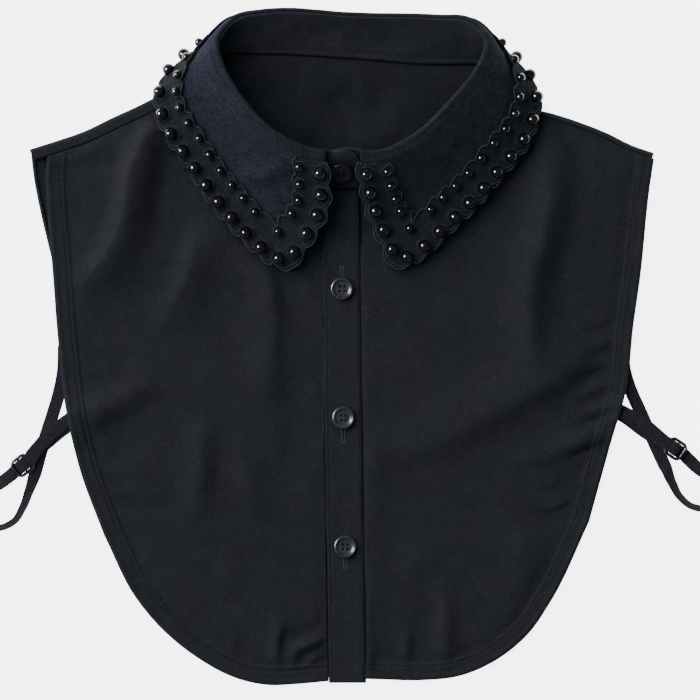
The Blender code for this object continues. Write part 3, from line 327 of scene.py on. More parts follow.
def noise2(x, y, seed):
    """Smooth noise between -1 and 1 with features about one unit across."""
    size = 64
    table = np.random.default_rng(seed).uniform(-1, 1, (size, size))
    i, j = np.floor(x).astype(int), np.floor(y).astype(int)
    u, v = ease(x - i), ease(y - j)
    a, b = table[i % size, j % size], table[(i + 1) % size, j % size]
    c, d = table[i % size, (j + 1) % size], table[(i + 1) % size, (j + 1) % size]
    return (a * (1 - u) + b * u) * (1 - v) + (c * (1 - u) + d * u) * v


def noise1(x, seed):
    return noise2(x, np.zeros_like(x) + 0.5, seed)


Wave = namedtuple("Wave", "height x_size y_size seed start", defaults=((0, 0),))


def slack(x, y, waves, seed=0):
    """Uneven height of cloth that isn't taut, from waves of several sizes."""
    return sum(wave.height * noise2(x / wave.x_size + wave.start[0], y / wave.y_size + wave.start[1],
                                    seed + wave.seed) for wave in waves)


class Line:
    """A dense line in plan that distances and runs are measured from."""

    def __init__(self, points, step=0.5):
        points = np.asarray(points, float)
        run = lengths_along(points[:, :2])
        self.run = np.arange(0, run[-1] + step / 2, step)
        self.points = read_along(self.run, run, points)
        self.tangent = unit(np.gradient(self.points[:, :2], axis=0))
        self.tree = kdtree.KDTree(len(self.points))
        for k, p in enumerate(self.points):
            self.tree.insert((p[0], p[1], 0.0), k)
        self.tree.balance()

    def nearest(self, xy):
        """Index of the nearest point of the line, and the distance to it, for each place."""
        found = [self.tree.find((x, y, 0.0)) for x, y in np.asarray(xy, float).reshape(-1, 2)]
        index, distance = np.array([f[1] for f in found]), np.array([f[2] for f in found])
        return index.reshape(xy.shape[:-1]), distance.reshape(xy.shape[:-1])


# ---------------------------------------------------------------- the collar's surface

# A place on the fall is (s, q): s runs along the fold from the left point, q inwards from its edge.
FOLD_KNOTS = lengths_along(np.array([row.fold for row in COLLAR], float))
TOTAL_S = FOLD_KNOTS[-1]
FLAT_FALL_LEVEL = TRIM_WALL + TRIM_GAP + FALL_WALL / 2
Q_STEP, Q_LAST = 0.5, 92        # the surface is read this finely, and deeper than the fall is anywhere
INSET_DEPTH, INSET_REACH = 80, 50


def at_section(number):
    return np.interp(number, np.arange(len(COLLAR), dtype=float), FOLD_KNOTS)


def collar_curve(name, s):
    return spline(FOLD_KNOTS, [getattr(row, name) for row in COLLAR], np.atleast_1d(s))


def stand_frame(s):
    """The stand's seam and fold, its upward direction and the direction square to it, outwards."""
    seam, fold = collar_curve("seam", s), collar_curve("fold", s)
    along = unit(collar_curve("fold", np.asarray(s) + 0.5) - collar_curve("fold", np.asarray(s) - 0.5))
    up = unit(fold - seam)
    return seam, fold, up, unit(np.cross(up, along))


def surface_table(s):
    """The fall's middle surface, read every Q_STEP in from the free edge, and its depth."""
    _, fold, up, out = stand_frame(s)
    belly, edge = collar_curve("belly", s), collar_curve("edge", s)
    table, reach = [], []
    for k in range(len(s)):
        centre = fold[k] - FOLD_RADIUS * up[k]
        roll = [centre + FOLD_RADIUS * (-math.cos(a) * out[k] + math.sin(a) * up[k])
                for a in np.linspace(0, math.pi, 5)]
        points = np.array(roll + [belly[k], edge[k]])
        knots = lengths_along(points)
        curve = spline(knots, points, np.linspace(0, knots[-1], 90))[::-1]
        curve[:, 2] = np.maximum(curve[:, 2], FLAT_FALL_LEVEL)
        q = lengths_along(curve)
        table.append(read_along(np.arange(0, Q_LAST, Q_STEP), q, curve))
        reach.append(q[-1])
    return np.array(table), np.array(reach)


SURFACE_S = np.linspace(0, TOTAL_S, 361)
SURFACE, SURFACE_REACH = surface_table(SURFACE_S)


def surface_normals():
    along, up = np.gradient(SURFACE, axis=0), np.gradient(SURFACE, axis=1)
    for k, reach in enumerate(SURFACE_REACH):
        last = int(reach / Q_STEP) - 1
        up[k, last + 1:] = up[k, last]
        along[k, last + 1:] = along[k, last]
    return unit(np.cross(up, along))


NORMALS = surface_normals()


def section_length(s):
    return np.interp(s, SURFACE_S, SURFACE_REACH)


def read_table(table, s, q):
    """Values of a table between its rows and columns."""
    fs = np.clip(np.asarray(s, float) / TOTAL_S, 0, 1) * (len(SURFACE_S) - 1)
    fq = np.clip(np.asarray(q, float) / Q_STEP, 0, table.shape[1] - 1.001)
    i, j = np.minimum(fs.astype(int), len(SURFACE_S) - 2), fq.astype(int)
    u, v = (fs - i)[..., None], (fq - j)[..., None]
    return ((table[i, j] * (1 - u) + table[i + 1, j] * u) * (1 - v)
            + (table[i, j + 1] * (1 - u) + table[i + 1, j + 1] * u) * v)


def fall_point(s, q):
    return read_table(SURFACE, s, q)


def fall_normal(s, q):
    return unit(read_table(NORMALS, s, q))


def inset_table(side):
    """Distance from the short front edge, for each millimetre of q and each step along the fold."""
    steps = np.arange(0, INSET_REACH, 0.5)
    start = 0.0 if side == "left" else TOTAL_S
    edge = fall_point(np.full(300, start), np.linspace(0, INSET_DEPTH, 300))
    table = []
    for q in range(INSET_DEPTH):
        places = fall_point(np.abs(start - steps), np.full(len(steps), q))
        gaps = np.linalg.norm(places[:, None] - edge[None], axis=2).min(axis=1)
        table.append(np.maximum.accumulate(gaps))
    return np.array(table), steps


INSETS = {side: inset_table(side) for side in SIDES}


def front_inset(q, distance, side):
    """How far along the fold a line runs that stays a given distance inside the short front edge."""
    table, steps = INSETS[side]
    row = min(max(q, 0.0), len(table) - 1.001)
    low = int(row)
    gaps = table[low] * (low + 1 - row) + table[low + 1] * (row - low)
    inset = float(np.interp(distance, gaps, steps))
    return inset if side == "left" else TOTAL_S - inset


# ---------------------------------------------------------------- meshes

UP = (0.0, 0.0, 1.0)


def add_mesh(name, verts, faces, look, nodes=(), uv=None):
    """A piece of the garment from points in millimetres, which replaces the named nodes."""
    mesh = bpy.data.meshes.new(name)
    mesh.from_pydata(lay(verts).tolist(), [], [tuple(f) for f in faces])
    mesh.update()
    if uv is not None:
        layer = mesh.uv_layers.new(name="UVMap")
        corners = np.empty(len(mesh.loops), dtype=np.int32)
        mesh.loops.foreach_get("vertex_index", corners)
        layer.data.foreach_set("uv", np.asarray(uv, float)[corners].ravel())
    mesh.polygons.foreach_set("use_smooth", [True] * len(mesh.polygons))
    mesh.materials.append(look)
    made = bpy.data.objects.new(name, mesh)
    bpy.context.scene.collection.objects.link(made)
    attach(made, "root")
    if nodes:
        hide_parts(*nodes)
    return made


def wall(name, upper, lower, uv, look, node):
    """A closed thin wall between two grids, wound outwards."""
    rows, columns = upper.shape[:2]
    n = rows * columns
    index = np.arange(n).reshape(rows, columns)
    a, b, c, d = index[:-1, :-1], index[1:, :-1], index[1:, 1:], index[:-1, 1:]
    top = np.stack([a, b, c, d], -1).reshape(-1, 4)
    bottom = np.stack([a, d, c, b], -1).reshape(-1, 4) + n
    rim = np.concatenate([index[:, 0], index[-1, 1:], index[-2::-1, -1], index[0, -2:0:-1]])
    after = np.roll(rim, -1)
    faces = np.concatenate([top, bottom, np.stack([rim, rim + n, after + n, after], -1)])
    i, j = rows // 2, columns // 2
    across = np.cross(upper[i + 1, j] - upper[i, j], upper[i, j + 1] - upper[i, j])
    if np.dot(across, upper[i, j] - lower[i, j]) < 0:
        faces = faces[:, ::-1]
    verts = np.concatenate([upper.reshape(-1, 3), lower.reshape(-1, 3)])
    flat = np.asarray(uv, float).reshape(-1, 2)
    add_mesh(name, verts, faces, look, (node,), np.concatenate([flat, flat]))


def grid_normals(grid):
    """Normals of a grid of points, on the side that the first and second axes turn towards."""
    return unit(np.cross(np.gradient(grid, axis=0), np.gradient(grid, axis=1)))


def grid_lengths(grid):
    """Texture coordinates in millimetres along both ways of a grid."""
    u, v = (np.cumsum(np.linalg.norm(np.diff(grid, axis=axis, prepend=first), axis=2), axis=axis)
            for axis, first in ((1, grid[:, :1]), (0, grid[:1])))
    return np.stack([u, v], -1)


class Shell:
    """Points and faces of a piece that is put together from rings of points."""

    def __init__(self):
        self.verts, self.faces = [], []

    def sweep(self, rings, closed=False):
        """Joins rings of points one after another, with a flat cap on each end of an open run."""
        base, count, around = len(self.verts), len(rings), len(rings[0])
        self.verts += [point for ring in rings for point in ring]
        for k in range(count if closed else count - 1):
            here, ahead = base + k * around, base + (k + 1) % count * around
            for m in range(around):
                n = (m + 1) % around
                self.faces.append((here + m, here + n, ahead + n, ahead + m))
        if not closed:
            self.faces.append(tuple(range(base, base + around))[::-1])
            self.faces.append(tuple(range(len(self.verts) - around, len(self.verts))))

    def tube(self, path, radius, around=8):
        """A round tube along a path."""
        along = unit(np.gradient(path, axis=0))
        side = unit(np.cross(along, UP))
        self.sweep(round_rings(path, side, np.cross(side, along), radius, around))


def round_rings(path, side, upward, radius, around):
    """A circle of points round each point of a path, in the plane of its two directions."""
    t = turns(around)[None, :, None]
    radius = np.broadcast_to(radius, len(path))[:, None, None]
    return path[:, None] + radius * (np.cos(t) * side[:, None] + np.sin(t) * upward[:, None])


def stitches(name, path, look, pitch=STITCH_PITCH, length=STITCH, sink=0.25):
    """Topstitching along a line of points: one short arched thread for each stitch."""
    shell = Shell()
    run = lengths_along(path)
    share = np.linspace(0, 1, 5)
    arch = np.sin(math.pi * share)
    size = THREAD * (0.55 + 0.45 * np.sqrt(arch))
    start = pitch / 2
    while start + length < run[-1]:
        points = read_along(start + length * share, run, path)
        points[:, 2] += arch * THREAD * 0.9 - sink * (1 - arch)
        along = unit(np.gradient(points, axis=0))
        side = unit(np.cross(along, UP))
        shell.sweep(round_rings(points, side, np.cross(side, along), size, 6))
        start += pitch
    add_mesh(name, shell.verts, shell.faces, look)


# ---------------------------------------------------------------- the body's levels

NECK = Line(np.vstack([collar_curve("seam", np.linspace(0, TOTAL_S, 160)), [LAPPED_OVER[-1].seam]]))
BETWEEN_SHOULDERS = np.linspace(at_section(LEFT_SHOULDER), at_section(RIGHT_SHOULDER), 90)
BACK_OF_NECK = Line(collar_curve("seam", BETWEEN_SHOULDERS))
SHOULDERS = {side: Line(smooth_line(FRONTS[side].shoulder, 90)) for side in SIDES}
NECK_LIFT, NECK_LIFT_REACH = 3.4, 24.0
SHOULDER_LIFT, SHOULDER_LIFT_REACH = 1.2, 14.0
STRAP_LIFT, STRAP_LIFT_REACH = 3.4, 13.0
FRONT_LEVEL = CREPE + GAP
WRAP_RADIUS = (FRONT_LEVEL + SHOULDER_LIFT + CREPE) / 2
NECK_CLEARANCE = STAND_WALL / 2 + GAP + 0.2
BACK_NECK_TUCK = -0.5       # the back's neck edge goes on under the stand's lower edge
RELIEF = 1.45               # how much deeper the folds are than their tables say
LOFT = 1.3                  # how far the fronts float over the back away from their edges
HEM_STEP = 0.75             # the folded hem's height over the single cloth
HEM_FOLD = {"left": 8.6, "right": 7.6}          # where the hem's turned-in edge lies
PLACKET_SWELL = {"left": 0.2, "right": 1.9}     # how far each front rises beside the placket
FRONT_WAVES = [Wave(0.60, 31, 43, 0, (5, 9)), Wave(0.22, 13, 19, 1), Wave(0.08, 5.0, 7.2, 2),
               Wave(0.045, 2.3, 2.9, 8)]
FRONT_SEEDS = {"left": 11, "right": 37}
BACK_WAVES = [Wave(2.1, 15, 17, 71), Wave(1.2, 6, 19, 72), Wave(0.5, 4, 5, 73)]


def back_level(xy):
    """Underside of the back panel: on the surface, but lifted where the fall is tucked under it."""
    return NECK_LIFT * ease(1.15 - BACK_OF_NECK.nearest(xy)[1] / NECK_LIFT_REACH)


def crease_relief(xy, creases):
    """Height of the soft ridges and troughs at each place."""
    flat = xy.reshape(-1, 2)
    total = np.zeros(len(flat))
    for crease in creases:
        points = np.array(crease.path, float)
        line = Line(smooth_line(points, max(int(2 * lengths_along(points[:, :2])[-1]), 8)))
        reach = 3 * max(crease.left, crease.right)
        low, high = points[:, :2].min(0) - reach, points[:, :2].max(0) + reach
        near = np.flatnonzero(np.all((flat > low) & (flat < high), axis=1))
        if len(near) == 0:
            continue
        index, distance = line.nearest(flat[near])
        away, tangent = flat[near] - line.points[index, :2], line.tangent[index]
        side = (tangent[:, 0] * away[:, 1] - tangent[:, 1] * away[:, 0]) / np.maximum(distance, 0.3)
        width = (crease.left + crease.right) / 2 + np.clip(side, -1, 1) * (crease.left - crease.right) / 2
        total[near] += RELIEF * line.points[index, 2] * bell(distance, width)
    return total.reshape(xy.shape[:-1])


def placket_x(y):
    """The placket's left edge."""
    line = np.array(PLACKET_LEFT)
    return np.interp(-y, -line[:, 1], line[:, 0])


def front_base(xy):
    """Underside of a front panel without its creases, and the distance from the nearest shoulder."""
    neck = ease(1.15 - NECK.nearest(xy)[1] / NECK_LIFT_REACH)
    shoulder = np.minimum(*(SHOULDERS[side].nearest(xy)[1] for side in SIDES))
    rise = np.maximum(NECK_LIFT * neck, SHOULDER_LIFT * ease(1.5 - shoulder / SHOULDER_LIFT_REACH))
    straps = np.maximum(*(bell(np.hypot(xy[..., 0] - x, xy[..., 1] - y), STRAP_LIFT_REACH)
                          for x, y in STRAP_LIFTS_AT))
    return FRONT_LEVEL + rise + STRAP_LIFT * straps, shoulder


def front_surface(xy, side, edge):
    """Top of a front panel, and the distance from edge, the line of its side and hem."""
    x, y = xy[..., 0], xy[..., 1]
    base, shoulder = front_base(xy)
    index, distance = edge.nearest(xy)
    run = edge.run[index]
    seed = FRONT_SEEDS[side]
    from_placket = np.abs(x - placket_x(y) - PLACKET_WIDTH / 2) - PLACKET_WIDTH / 2

    # large folds and slack, which die away under the collar, at the placket and at the seam
    under_leaf = 1.0 - 0.85 * ease((y - 42.0) / 30.0) * ease((100.0 - np.abs(x)) / 25.0)
    free = under_leaf * ease((from_placket + 0.5) / 9.0) * ease((shoulder - 4.0) / 12.0)
    inside = ease((distance - 8.0) / 26.0)
    loft = LOFT * (0.75 * ease((distance - 7.5) / 8.0) + 0.25 * inside)
    uneven = slack(x, y, FRONT_WAVES, seed) * (0.35 + 0.65 * inside)
    soft = (loft + uneven + crease_relief(xy, FRONTS[side].creases)) * free

    # small puckers along the hem, the shoulder seam and the placket
    pucker = noise1(run / 2.7 + 40, seed + 3) * 0.30 + noise1(run / 6.3, seed + 4) * 0.40
    ripples = (pucker * bell(distance - HEM - 2.5, 4.6)
               + 0.18 * noise1(run / 2.1, seed + 5) * bell(distance - 4, 3.5)
               + 0.22 * noise1((x * 0.9 + y * 0.3) / 2.6, seed + 6)
               * bell(shoulder - SEAM_WRAP[side] - 3.5, 3.5)
               + 0.16 * noise1(y / 2.4, seed + 7) * bell(from_placket - 1.5, 3.0)
               * (0.35 + 0.65 * ease((-60 - y) / 80)))
    beside = bell(from_placket, 6.0) * ease((from_placket + 0.5) / 1.2) * ease((60 - y) / 20)

    # the cloth is held up softly by what lies under it
    low = FRONT_LEVEL + CLOTH + 0.4
    over = base + soft + ripples + PLACKET_SWELL[side] * beside + CLOTH - low
    lying = low + (over + np.sqrt(over ** 2 + 0.25)) / 2

    # the folded hem with its rolled edge, and the dent along its topstitching
    band = HEM_STEP * (1 - ease((distance - HEM_FOLD[side]) / 1.5)) + 0.45 * bell(distance - 1.7, 1.1)
    groove = (0.30 * noise1(run / 7.1 + 3, seed + 9) * bell(distance - HEM + 2.4, 1.2)
              - 0.35 * bell(distance - HEM + 0.6, 0.55))
    return lying + band + groove, distance


# ---------------------------------------------------------------- front and back panels

def patch(top, bottom, inner, outer, down, across):
    """Points filled in between four edge lines that share their corners, at shares down and across."""
    top, bottom = at_shares(top, across), at_shares(bottom, across)
    inner, outer = at_shares(inner, down), at_shares(outer, down)
    v, u = down[:, None, None], across[None, :, None]
    between = (1 - v) * top[None] + v * bottom[None] + (1 - u) * inner[:, None] + u * outer[:, None]
    corners = ((1 - u) * (1 - v) * top[0] + u * (1 - v) * top[-1]
               + (1 - u) * v * bottom[0] + u * v * bottom[-1])
    return between - corners


def fine_end(count, fine_count, fine_share):
    """Shares from 0 to 1 that lie closer together over the last part."""
    coarse = np.linspace(0, 1 - fine_share, count - fine_count, endpoint=False)
    return np.append(coarse, np.linspace(1 - fine_share, 1, fine_count))


def neck_edge(first, last, count, side=1, clearance=NECK_CLEARANCE):
    """The body's neck edge, beside the stand's seam: outside it in front, inside it at the back."""
    s = np.linspace(at_section(first), at_section(last), count)
    points = collar_curve("seam", s)
    along = unit((collar_curve("seam", s + 0.5) - points)[:, :2])
    return points[:, :2] + side * clearance * np.stack([-along[:, 1], along[:, 0]], axis=1)


def shoulder_seam(side, count):
    """The shoulder's folded edge and the direction down from it."""
    line = smooth_line(FRONTS[side].shoulder, count)
    along = unit(line[-1] - line[0])
    return line, np.array([along[1], -along[0]]) * (-1 if side == "left" else 1)


def front_edges(side):
    """Top, hem, inner and outer edges of a front panel."""
    body = FRONTS[side]
    neck = neck_edge(*body.neck_sections, 41)
    if side == "right":
        neck = neck[::-1]
    neck[0] = body.inner[0]
    line, down = shoulder_seam(side, 60)
    seam = line + down * (SEAM_WRAP[side] + 0.1)
    seam[-1] += unit(seam[-1] - seam[-2]) * 0.38 * SEAM_WRAP[side]     # out to the corner at the armhole
    neck[-1] = seam[0]
    inner = smooth_line(body.inner + [body.hem[-1]], 500)
    outer = smooth_line([tuple(seam[-1])] + body.side[1:], 500)
    return np.vstack([neck, seam[1:]]), smooth_line(body.hem[::-1], 500), inner, outer


def front_piece(side, look, thread):
    rows, columns = 240, 136
    top, bottom, inner, outer = front_edges(side)
    plan = patch(top, bottom, inner, outer, fine_end(rows, 30, 0.06), fine_end(columns, 34, 0.13))
    edge = Line(np.vstack([outer[:-1], bottom[::-1]]))
    height, distance = front_surface(plan, side, edge)
    roll = rounded(distance, 0.9)
    thick = CLOTH + 0.5 * (1 - ease((distance - HEM + 0.4) / 0.8))
    upper = np.dstack([plan, height - 0.5 * thick * (1 - roll)])
    lower = np.dstack([plan, height - thick + 0.4 * thick * (1 - roll)])
    wall(f"cloth_front_{side}", upper, lower, plan, look, f"front_{side}")
    # the hem's topstitching, on the cloth's own surface
    inward = np.stack([-edge.tangent[:, 1], edge.tangent[:, 0]], 1)
    half_way = len(inward) // 2
    if np.dot(inward[half_way], plan[rows // 2, columns // 2] - edge.points[half_way]) < 0:
        inward = -inward
    path = evenly((edge.points + inward * (HEM - 0.6))[edge.run > 6], 900)
    stitches(f"hem_stitches_{side}", np.column_stack([path, front_surface(path, side, edge)[0]]), thread)


def back_edges(shoulders):
    """Top, hem, left and right edges of the back panel."""
    lines = [line + down * WRAP_RADIUS for line, down in shoulders]
    lines[0][-1] = BACK_LEFT_ARMHOLE[0]
    neck = neck_edge(LEFT_SHOULDER + 1, RIGHT_SHOULDER - 1, 60, side=-1, clearance=BACK_NECK_TUCK)
    top = np.vstack([lines[0][::-1], neck[1:-1], lines[1]])
    left = BACK_LEFT_ARMHOLE + [(x + BACK_SIDE_INSET, y) for x, y in LEFT_SIDE[4:]]
    right = [tuple(lines[1][-1])] + BACK_RIGHT_ARMHOLE
    right += [(x - BACK_SIDE_INSET, y) for x, y in RIGHT_SIDE[3:]]
    hem = [(x + BACK_SIDE_INSET, y + BACK_HEM_INSET) for x, y in LEFT_HEM[:4]]
    hem += BACK_HEM_MIDDLE
    hem += [(x - BACK_SIDE_INSET, y + BACK_HEM_INSET) for x, y in RIGHT_HEM[3::-1]]
    bottom, inner, outer = (smooth_line(points, 400) for points in (hem, left, right))
    inner[-1], outer[-1] = bottom[0], bottom[-1]
    return top, bottom, inner, outer


def back_piece(look, strip_look, rim_painted_light_look):
    """The back panel with its shoulder strips, turned over at the folds."""
    shoulders = [shoulder_seam(side, 40) for side in SIDES]
    top, bottom, inner, outer = back_edges(shoulders)
    left_half, right_half = 1 - fine_end(85, 26, 0.09)[::-1], 1 + fine_end(45, 10, 0.03)[1:]
    plan = patch(top, bottom, inner, outer, np.linspace(0, 1, 150), np.append(left_half, right_half) / 2)
    x, y = plan[..., 0], plan[..., 1]
    distance = Line(np.vstack([inner[::-1], top[1:], outer[1:], bottom[-2::-1]])).nearest(plan)[1]
    from_side = Line(inner).nearest(plan)[1]
    wave = 0.9 + slack(x, y, BACK_WAVES) + 0.5 * bell(y - 128 + 0.1 * x, 5) + 0.4 * bell(y - 112 - 0.2 * x, 4)
    wave = np.maximum(wave * bell(np.hypot(x, y - 122), 60) * ease(distance / 9), 0)
    band = 0.35 * (1 - ease((from_side - 7) / 0.8)) - 0.3 * bell(from_side - 7.2, 0.5)
    base, roll = back_level(plan), rounded(distance, 0.8)
    upper = np.dstack([plan, base + CLOTH + wave + band * roll + 0.25 * (roll - 1)])
    lower = np.dstack([plan, base + wave + 0.15 * (1 - roll)])
    # the back's look is a darker copy of the crepe: painted shade inside the neck and under the fronts' edges
    wall("cloth_back", upper, lower, plan, look, "back_panel")
    for side, (line, down) in zip(SIDES, shoulders):
        if side == "left":
            line = np.vstack([line, BACK_LEFT_ARMHOLE[:1] - down * WRAP_RADIUS])
        shoulder_strip(side, smooth_line(line, 160), down, strip_look)
    path = smooth_line(BACK_LEFT_ARMHOLE, 90) + (HEM_ROLL, 0)
    rim = Shell()
    rim.tube(np.column_stack([path, back_level(path) + CLOTH + 1.1]), HEM_ROLL, 12)
    # the rim's look is a lighter copy of the crepe: painted light on the rolled hem's lit edge
    add_mesh("armhole_hem_left", rim.verts, rim.faces, rim_painted_light_look)


def shoulder_strip(side, line, down, look):
    """The back panel's strip over one shoulder, from its underside round the fold to the seam."""
    wrap = SEAM_WRAP[side]
    lift = back_level(line)
    radius = (front_base(line + down * wrap)[0] + CREPE - lift) / 2
    run = lengths_along(line)
    puff = 0.25 * noise1(run / 9, 81) + 0.15 * noise1(run / 3.1, 82)
    start = line + down * WRAP_RADIUS
    rows = [np.column_stack([start + down * 0.4, lift + 0.25])]
    for turn in np.linspace(0, math.pi, 17):
        out = (radius * math.sin(turn))[:, None]
        rows.append(np.column_stack([start - down * out, lift + radius * (1 - math.cos(turn))]))
    for reach in np.linspace(0, 1, 9)[1:]:
        plan = line + down * (WRAP_RADIUS + (wrap - WRAP_RADIUS) * reach)
        bulge = puff * math.sin(math.pi * reach * 0.8) - 0.45 * ease((reach - 0.8) / 0.2)
        rows.append(np.column_stack([plan, lift + 2 * radius + bulge]))
    grid = np.array(rows)
    normal = grid_normals(grid)
    if normal[17, len(line) // 2, 2] < 0:
        normal = -normal
    wall(f"shoulder_strip_{side}", grid, grid - normal * CLOTH, grid_lengths(grid), look,
         "back_panel")


# ---------------------------------------------------------------- placket, stand and fall

PLACKET_WAVES = [Wave(0.22, 9, 21, 51), Wave(0.12, 4, 7, 52)]
FALL_WAVES = [Wave(0.26, 23, 17, 91), Wave(0.12, 9, 8, 92)]
SEAM_INSETS = (1.5, PLACKET_WIDTH - 1.4)    # the placket's two lines of topstitching, from its left edge
STAND_HALF = 0.55           # half of the stand's cloth
FALL_HALF = 0.6


def placket_surface(across, y):
    """Top of the placket at a distance from its left edge, over the edges of both fronts."""
    left = placket_x(y)
    levels = [front_base(np.stack([left + PLACKET_WIDTH * share, y], -1))[0]
              for share in (0, 1 / 3, 2 / 3, 1)]
    base = np.max(levels, axis=0) + CREPE + GAP + PLACKET_WALL - 0.1
    uneven = slack(across, y, PLACKET_WAVES) * ease(np.minimum(across, PLACKET_WIDTH - across) / 4)
    ripple = (0.09 * noise1(y / 1.9, 53) * bell(across - 1.3, 1.2)
              + 0.07 * noise1(y / 2.3, 54) * bell(across - 17, 1.2))
    groove = -0.30 * bell(across - SEAM_INSETS[0], 0.35) - 0.12 * bell(across - (PLACKET_WIDTH - 5.5), 0.5)
    pull = sum(-0.35 * bell(np.hypot(across - PLACKET_WIDTH / 2, y - row), 7.0) for row in BUTTON_ROWS)
    return base + uneven + ripple + groove + pull


def placket_piece(look, thread, hole_thread):
    y = np.linspace(PLACKET_LEFT[0][1], PLACKET_LEFT[-1][1], 400)
    share = np.linspace(0, 1, 28)
    across = PLACKET_WIDTH * (share - 0.035 * np.sin(2 * math.pi * share))
    wobble, edge_wobble = 0.18 * noise1(y / 11, 55)[:, None], 0.22 * noise1(y / 8, 56)[:, None]
    x = placket_x(y)[:, None] + across[None] + wobble * (1 - share) + edge_wobble * share
    end = np.minimum(y[0] - y, y - y[-1])[:, None]
    across, y = np.broadcast_arrays(across[None], y[:, None])
    top = placket_surface(across, y)
    roll = rounded(np.minimum(np.minimum(across, PLACKET_WIDTH - across), end), 0.75)
    thick = PLACKET_WALL - 0.2
    upper = np.dstack([x, y, top - 0.5 * thick * (1 - roll)])
    lower = np.dstack([x, y, top - thick + 0.35 * thick * (1 - roll)])
    wall("cloth_placket", upper, lower, np.dstack([x, y]), look, "placket")
    for number, inset in enumerate(SEAM_INSETS, start=1):
        line_y = np.linspace(y[0, 0] - 1, y[-1, 0] + 1, 600)
        level = placket_surface(np.full(600, inset), line_y)
        line = np.column_stack([placket_x(line_y) + inset, line_y, level])
        stitches(f"placket_stitches_{number}", line, thread, pitch=2.3, length=1.65)
    for number, middle in enumerate(BUTTONHOLES, start=1):
        buttonhole(f"buttonhole_{number}", middle, hole_thread)


def buttonhole(name, middle, thread):
    """A worked buttonhole: satin stitches packed along both sides of a slit, with a bar at each end."""
    half = BUTTONHOLE_LENGTH / 2
    satin = [((side * 0.28, y), (side * 1.15, y)) for side in (-1, 1)
             for y in np.arange(middle - half + 0.6, middle + half - 0.6, 0.42)]
    bars = [((x, middle + end * (half - 0.7)), (x, middle + end * (half + 0.5))) for end in (-1, 1)
            for x in np.arange(-1.1, 1.11, 0.4)]
    centre = np.array([float(placket_x(middle)) + PLACKET_WIDTH / 2, 0.0])
    verts, faces = [], []
    for start, finish in satin + bars:
        base = len(verts)
        along = np.subtract(finish, start)
        side = unit(np.array([-along[1], along[0]])) * 0.2
        for share in np.linspace(0, 1, 4):
            arch = 0.34 * math.sin(math.pi * (0.12 + 0.76 * share)) + 0.05
            for turn in np.linspace(0, math.pi, 4):
                place = start + along * share + side * math.cos(turn)
                level = float(placket_surface(np.array(PLACKET_WIDTH / 2 + place[0]), np.array(place[1])))
                verts.append((*(centre + place), level + arch * (0.35 + 0.65 * math.sin(turn))))
        faces += [(a, a + 1, a + 5, a + 4) for k in range(3) for a in range(base + 4 * k, base + 4 * k + 3)]
    add_mesh(name, verts, faces, thread)


def stand_rows(count):
    """Seam and top of the stand at each section, with the lapped ends."""
    seam, fold, up, out = stand_frame(np.linspace(0, TOTAL_S, count))
    top = fold - (FOLD_RADIUS + STAND_TOP_GAP) * up - FOLD_RADIUS * out
    over, under = np.array(LAPPED_OVER, float), np.array(LAPPED_UNDER, float)
    return (np.vstack([over[:, k], edge, under[:, k]]) for k, edge in enumerate((seam, top)))


def stand_piece(look):
    seam, top = stand_rows(90)
    run = lengths_along(seam)
    base = evenly(seam, int(run[-1]))
    # the two edges are matched row by row, through the share of rows rather than of length
    order = np.interp(np.linspace(0, run[-1], len(base)), run, np.arange(len(seam)))
    rim = read_along(order, np.arange(len(top)), top)
    t = np.linspace(0, 1, 26)
    grid = base[:, None] * (1 - t[:, None]) + rim[:, None] * t[:, None]
    normal = grid_normals(grid)
    centre = np.array([2.0, 118.0, 12.0])
    if np.sum((grid[len(base) // 2, 5] - centre) * normal[len(base) // 2, 5]) < 0:
        normal = -normal
    along, up = lengths_along(base)[:, None], t[None]
    uneven = 0.85 * noise2(along / 15, up * 2.1 + 7, 61) + 0.45 * noise2(along / 6.5, up * 3 + 1, 62)
    grid = grid + normal * (uneven * np.sin(math.pi * up) ** 0.5)[..., None]
    seam_ridge = 0.35 * bell(up - 0.05, 0.035) - 0.25 * bell(up - 0.12, 0.03)
    end = np.minimum(along, along[-1] - along)
    half = STAND_HALF * (0.35 + 0.65 * rounded(np.minimum(end, up * 22 + 0.4), 0.9))
    outer, inner = grid + normal * half[..., None], grid - normal * (half + seam_ridge)[..., None]
    # the stand's look is a lighter copy of the crepe: painted light on its inside, which faces away from the
    # light
    wall("cloth_stand", outer, inner, grid_lengths(grid), look, "collar_stand")


def fall_piece(look):
    """The fall: from its free edge up over the roll and down to the top of the stand."""
    columns, across = 400, 80
    share = np.linspace(0, 1, across)
    every_q = np.arange(0, INSET_DEPTH, 1.0)
    fronts = [[front_inset(q, FALL_EDGE_AT, side) for q in every_q] for side in SIDES]
    s, q = np.zeros((columns, across)), np.zeros((columns, across))
    for k, part in enumerate(np.linspace(0, 1, columns)):
        length = float(section_length(part * TOTAL_S))
        for _ in range(2):
            q[k] = FALL_EDGE_AT + (length - 0.02 - FALL_EDGE_AT) * share
            low, high = (np.interp(q[k], every_q, front) for front in fronts)
            s[k] = low + (high - low) * part
            length = float(section_length(s[k, -1]))
    normal, length = fall_normal(s, q), section_length(s)
    on_roll = ease((q - (length - math.pi * FOLD_RADIUS - 3)) / 3)
    uneven = slack(s, q, FALL_WAVES) + crease_relief(fall_point(s, q)[..., :2], LEAF_CREASES)
    lift = uneven * (1 - on_roll) + 0.10 * noise1(s / 7, 93) * on_roll - 0.55 * on_roll
    roll = rounded(np.minimum(q - FALL_EDGE_AT, length - q), 0.8)
    half = (FALL_HALF * (0.3 + 0.7 * roll) * (1 - 0.35 * on_roll))[..., None] * normal
    points = fall_point(s, q) + lift[..., None] * normal
    wall("cloth_fall", points + half, points - half, np.dstack([s, q]), look, "collar_fall")


# ---------------------------------------------------------------- the beaded trim

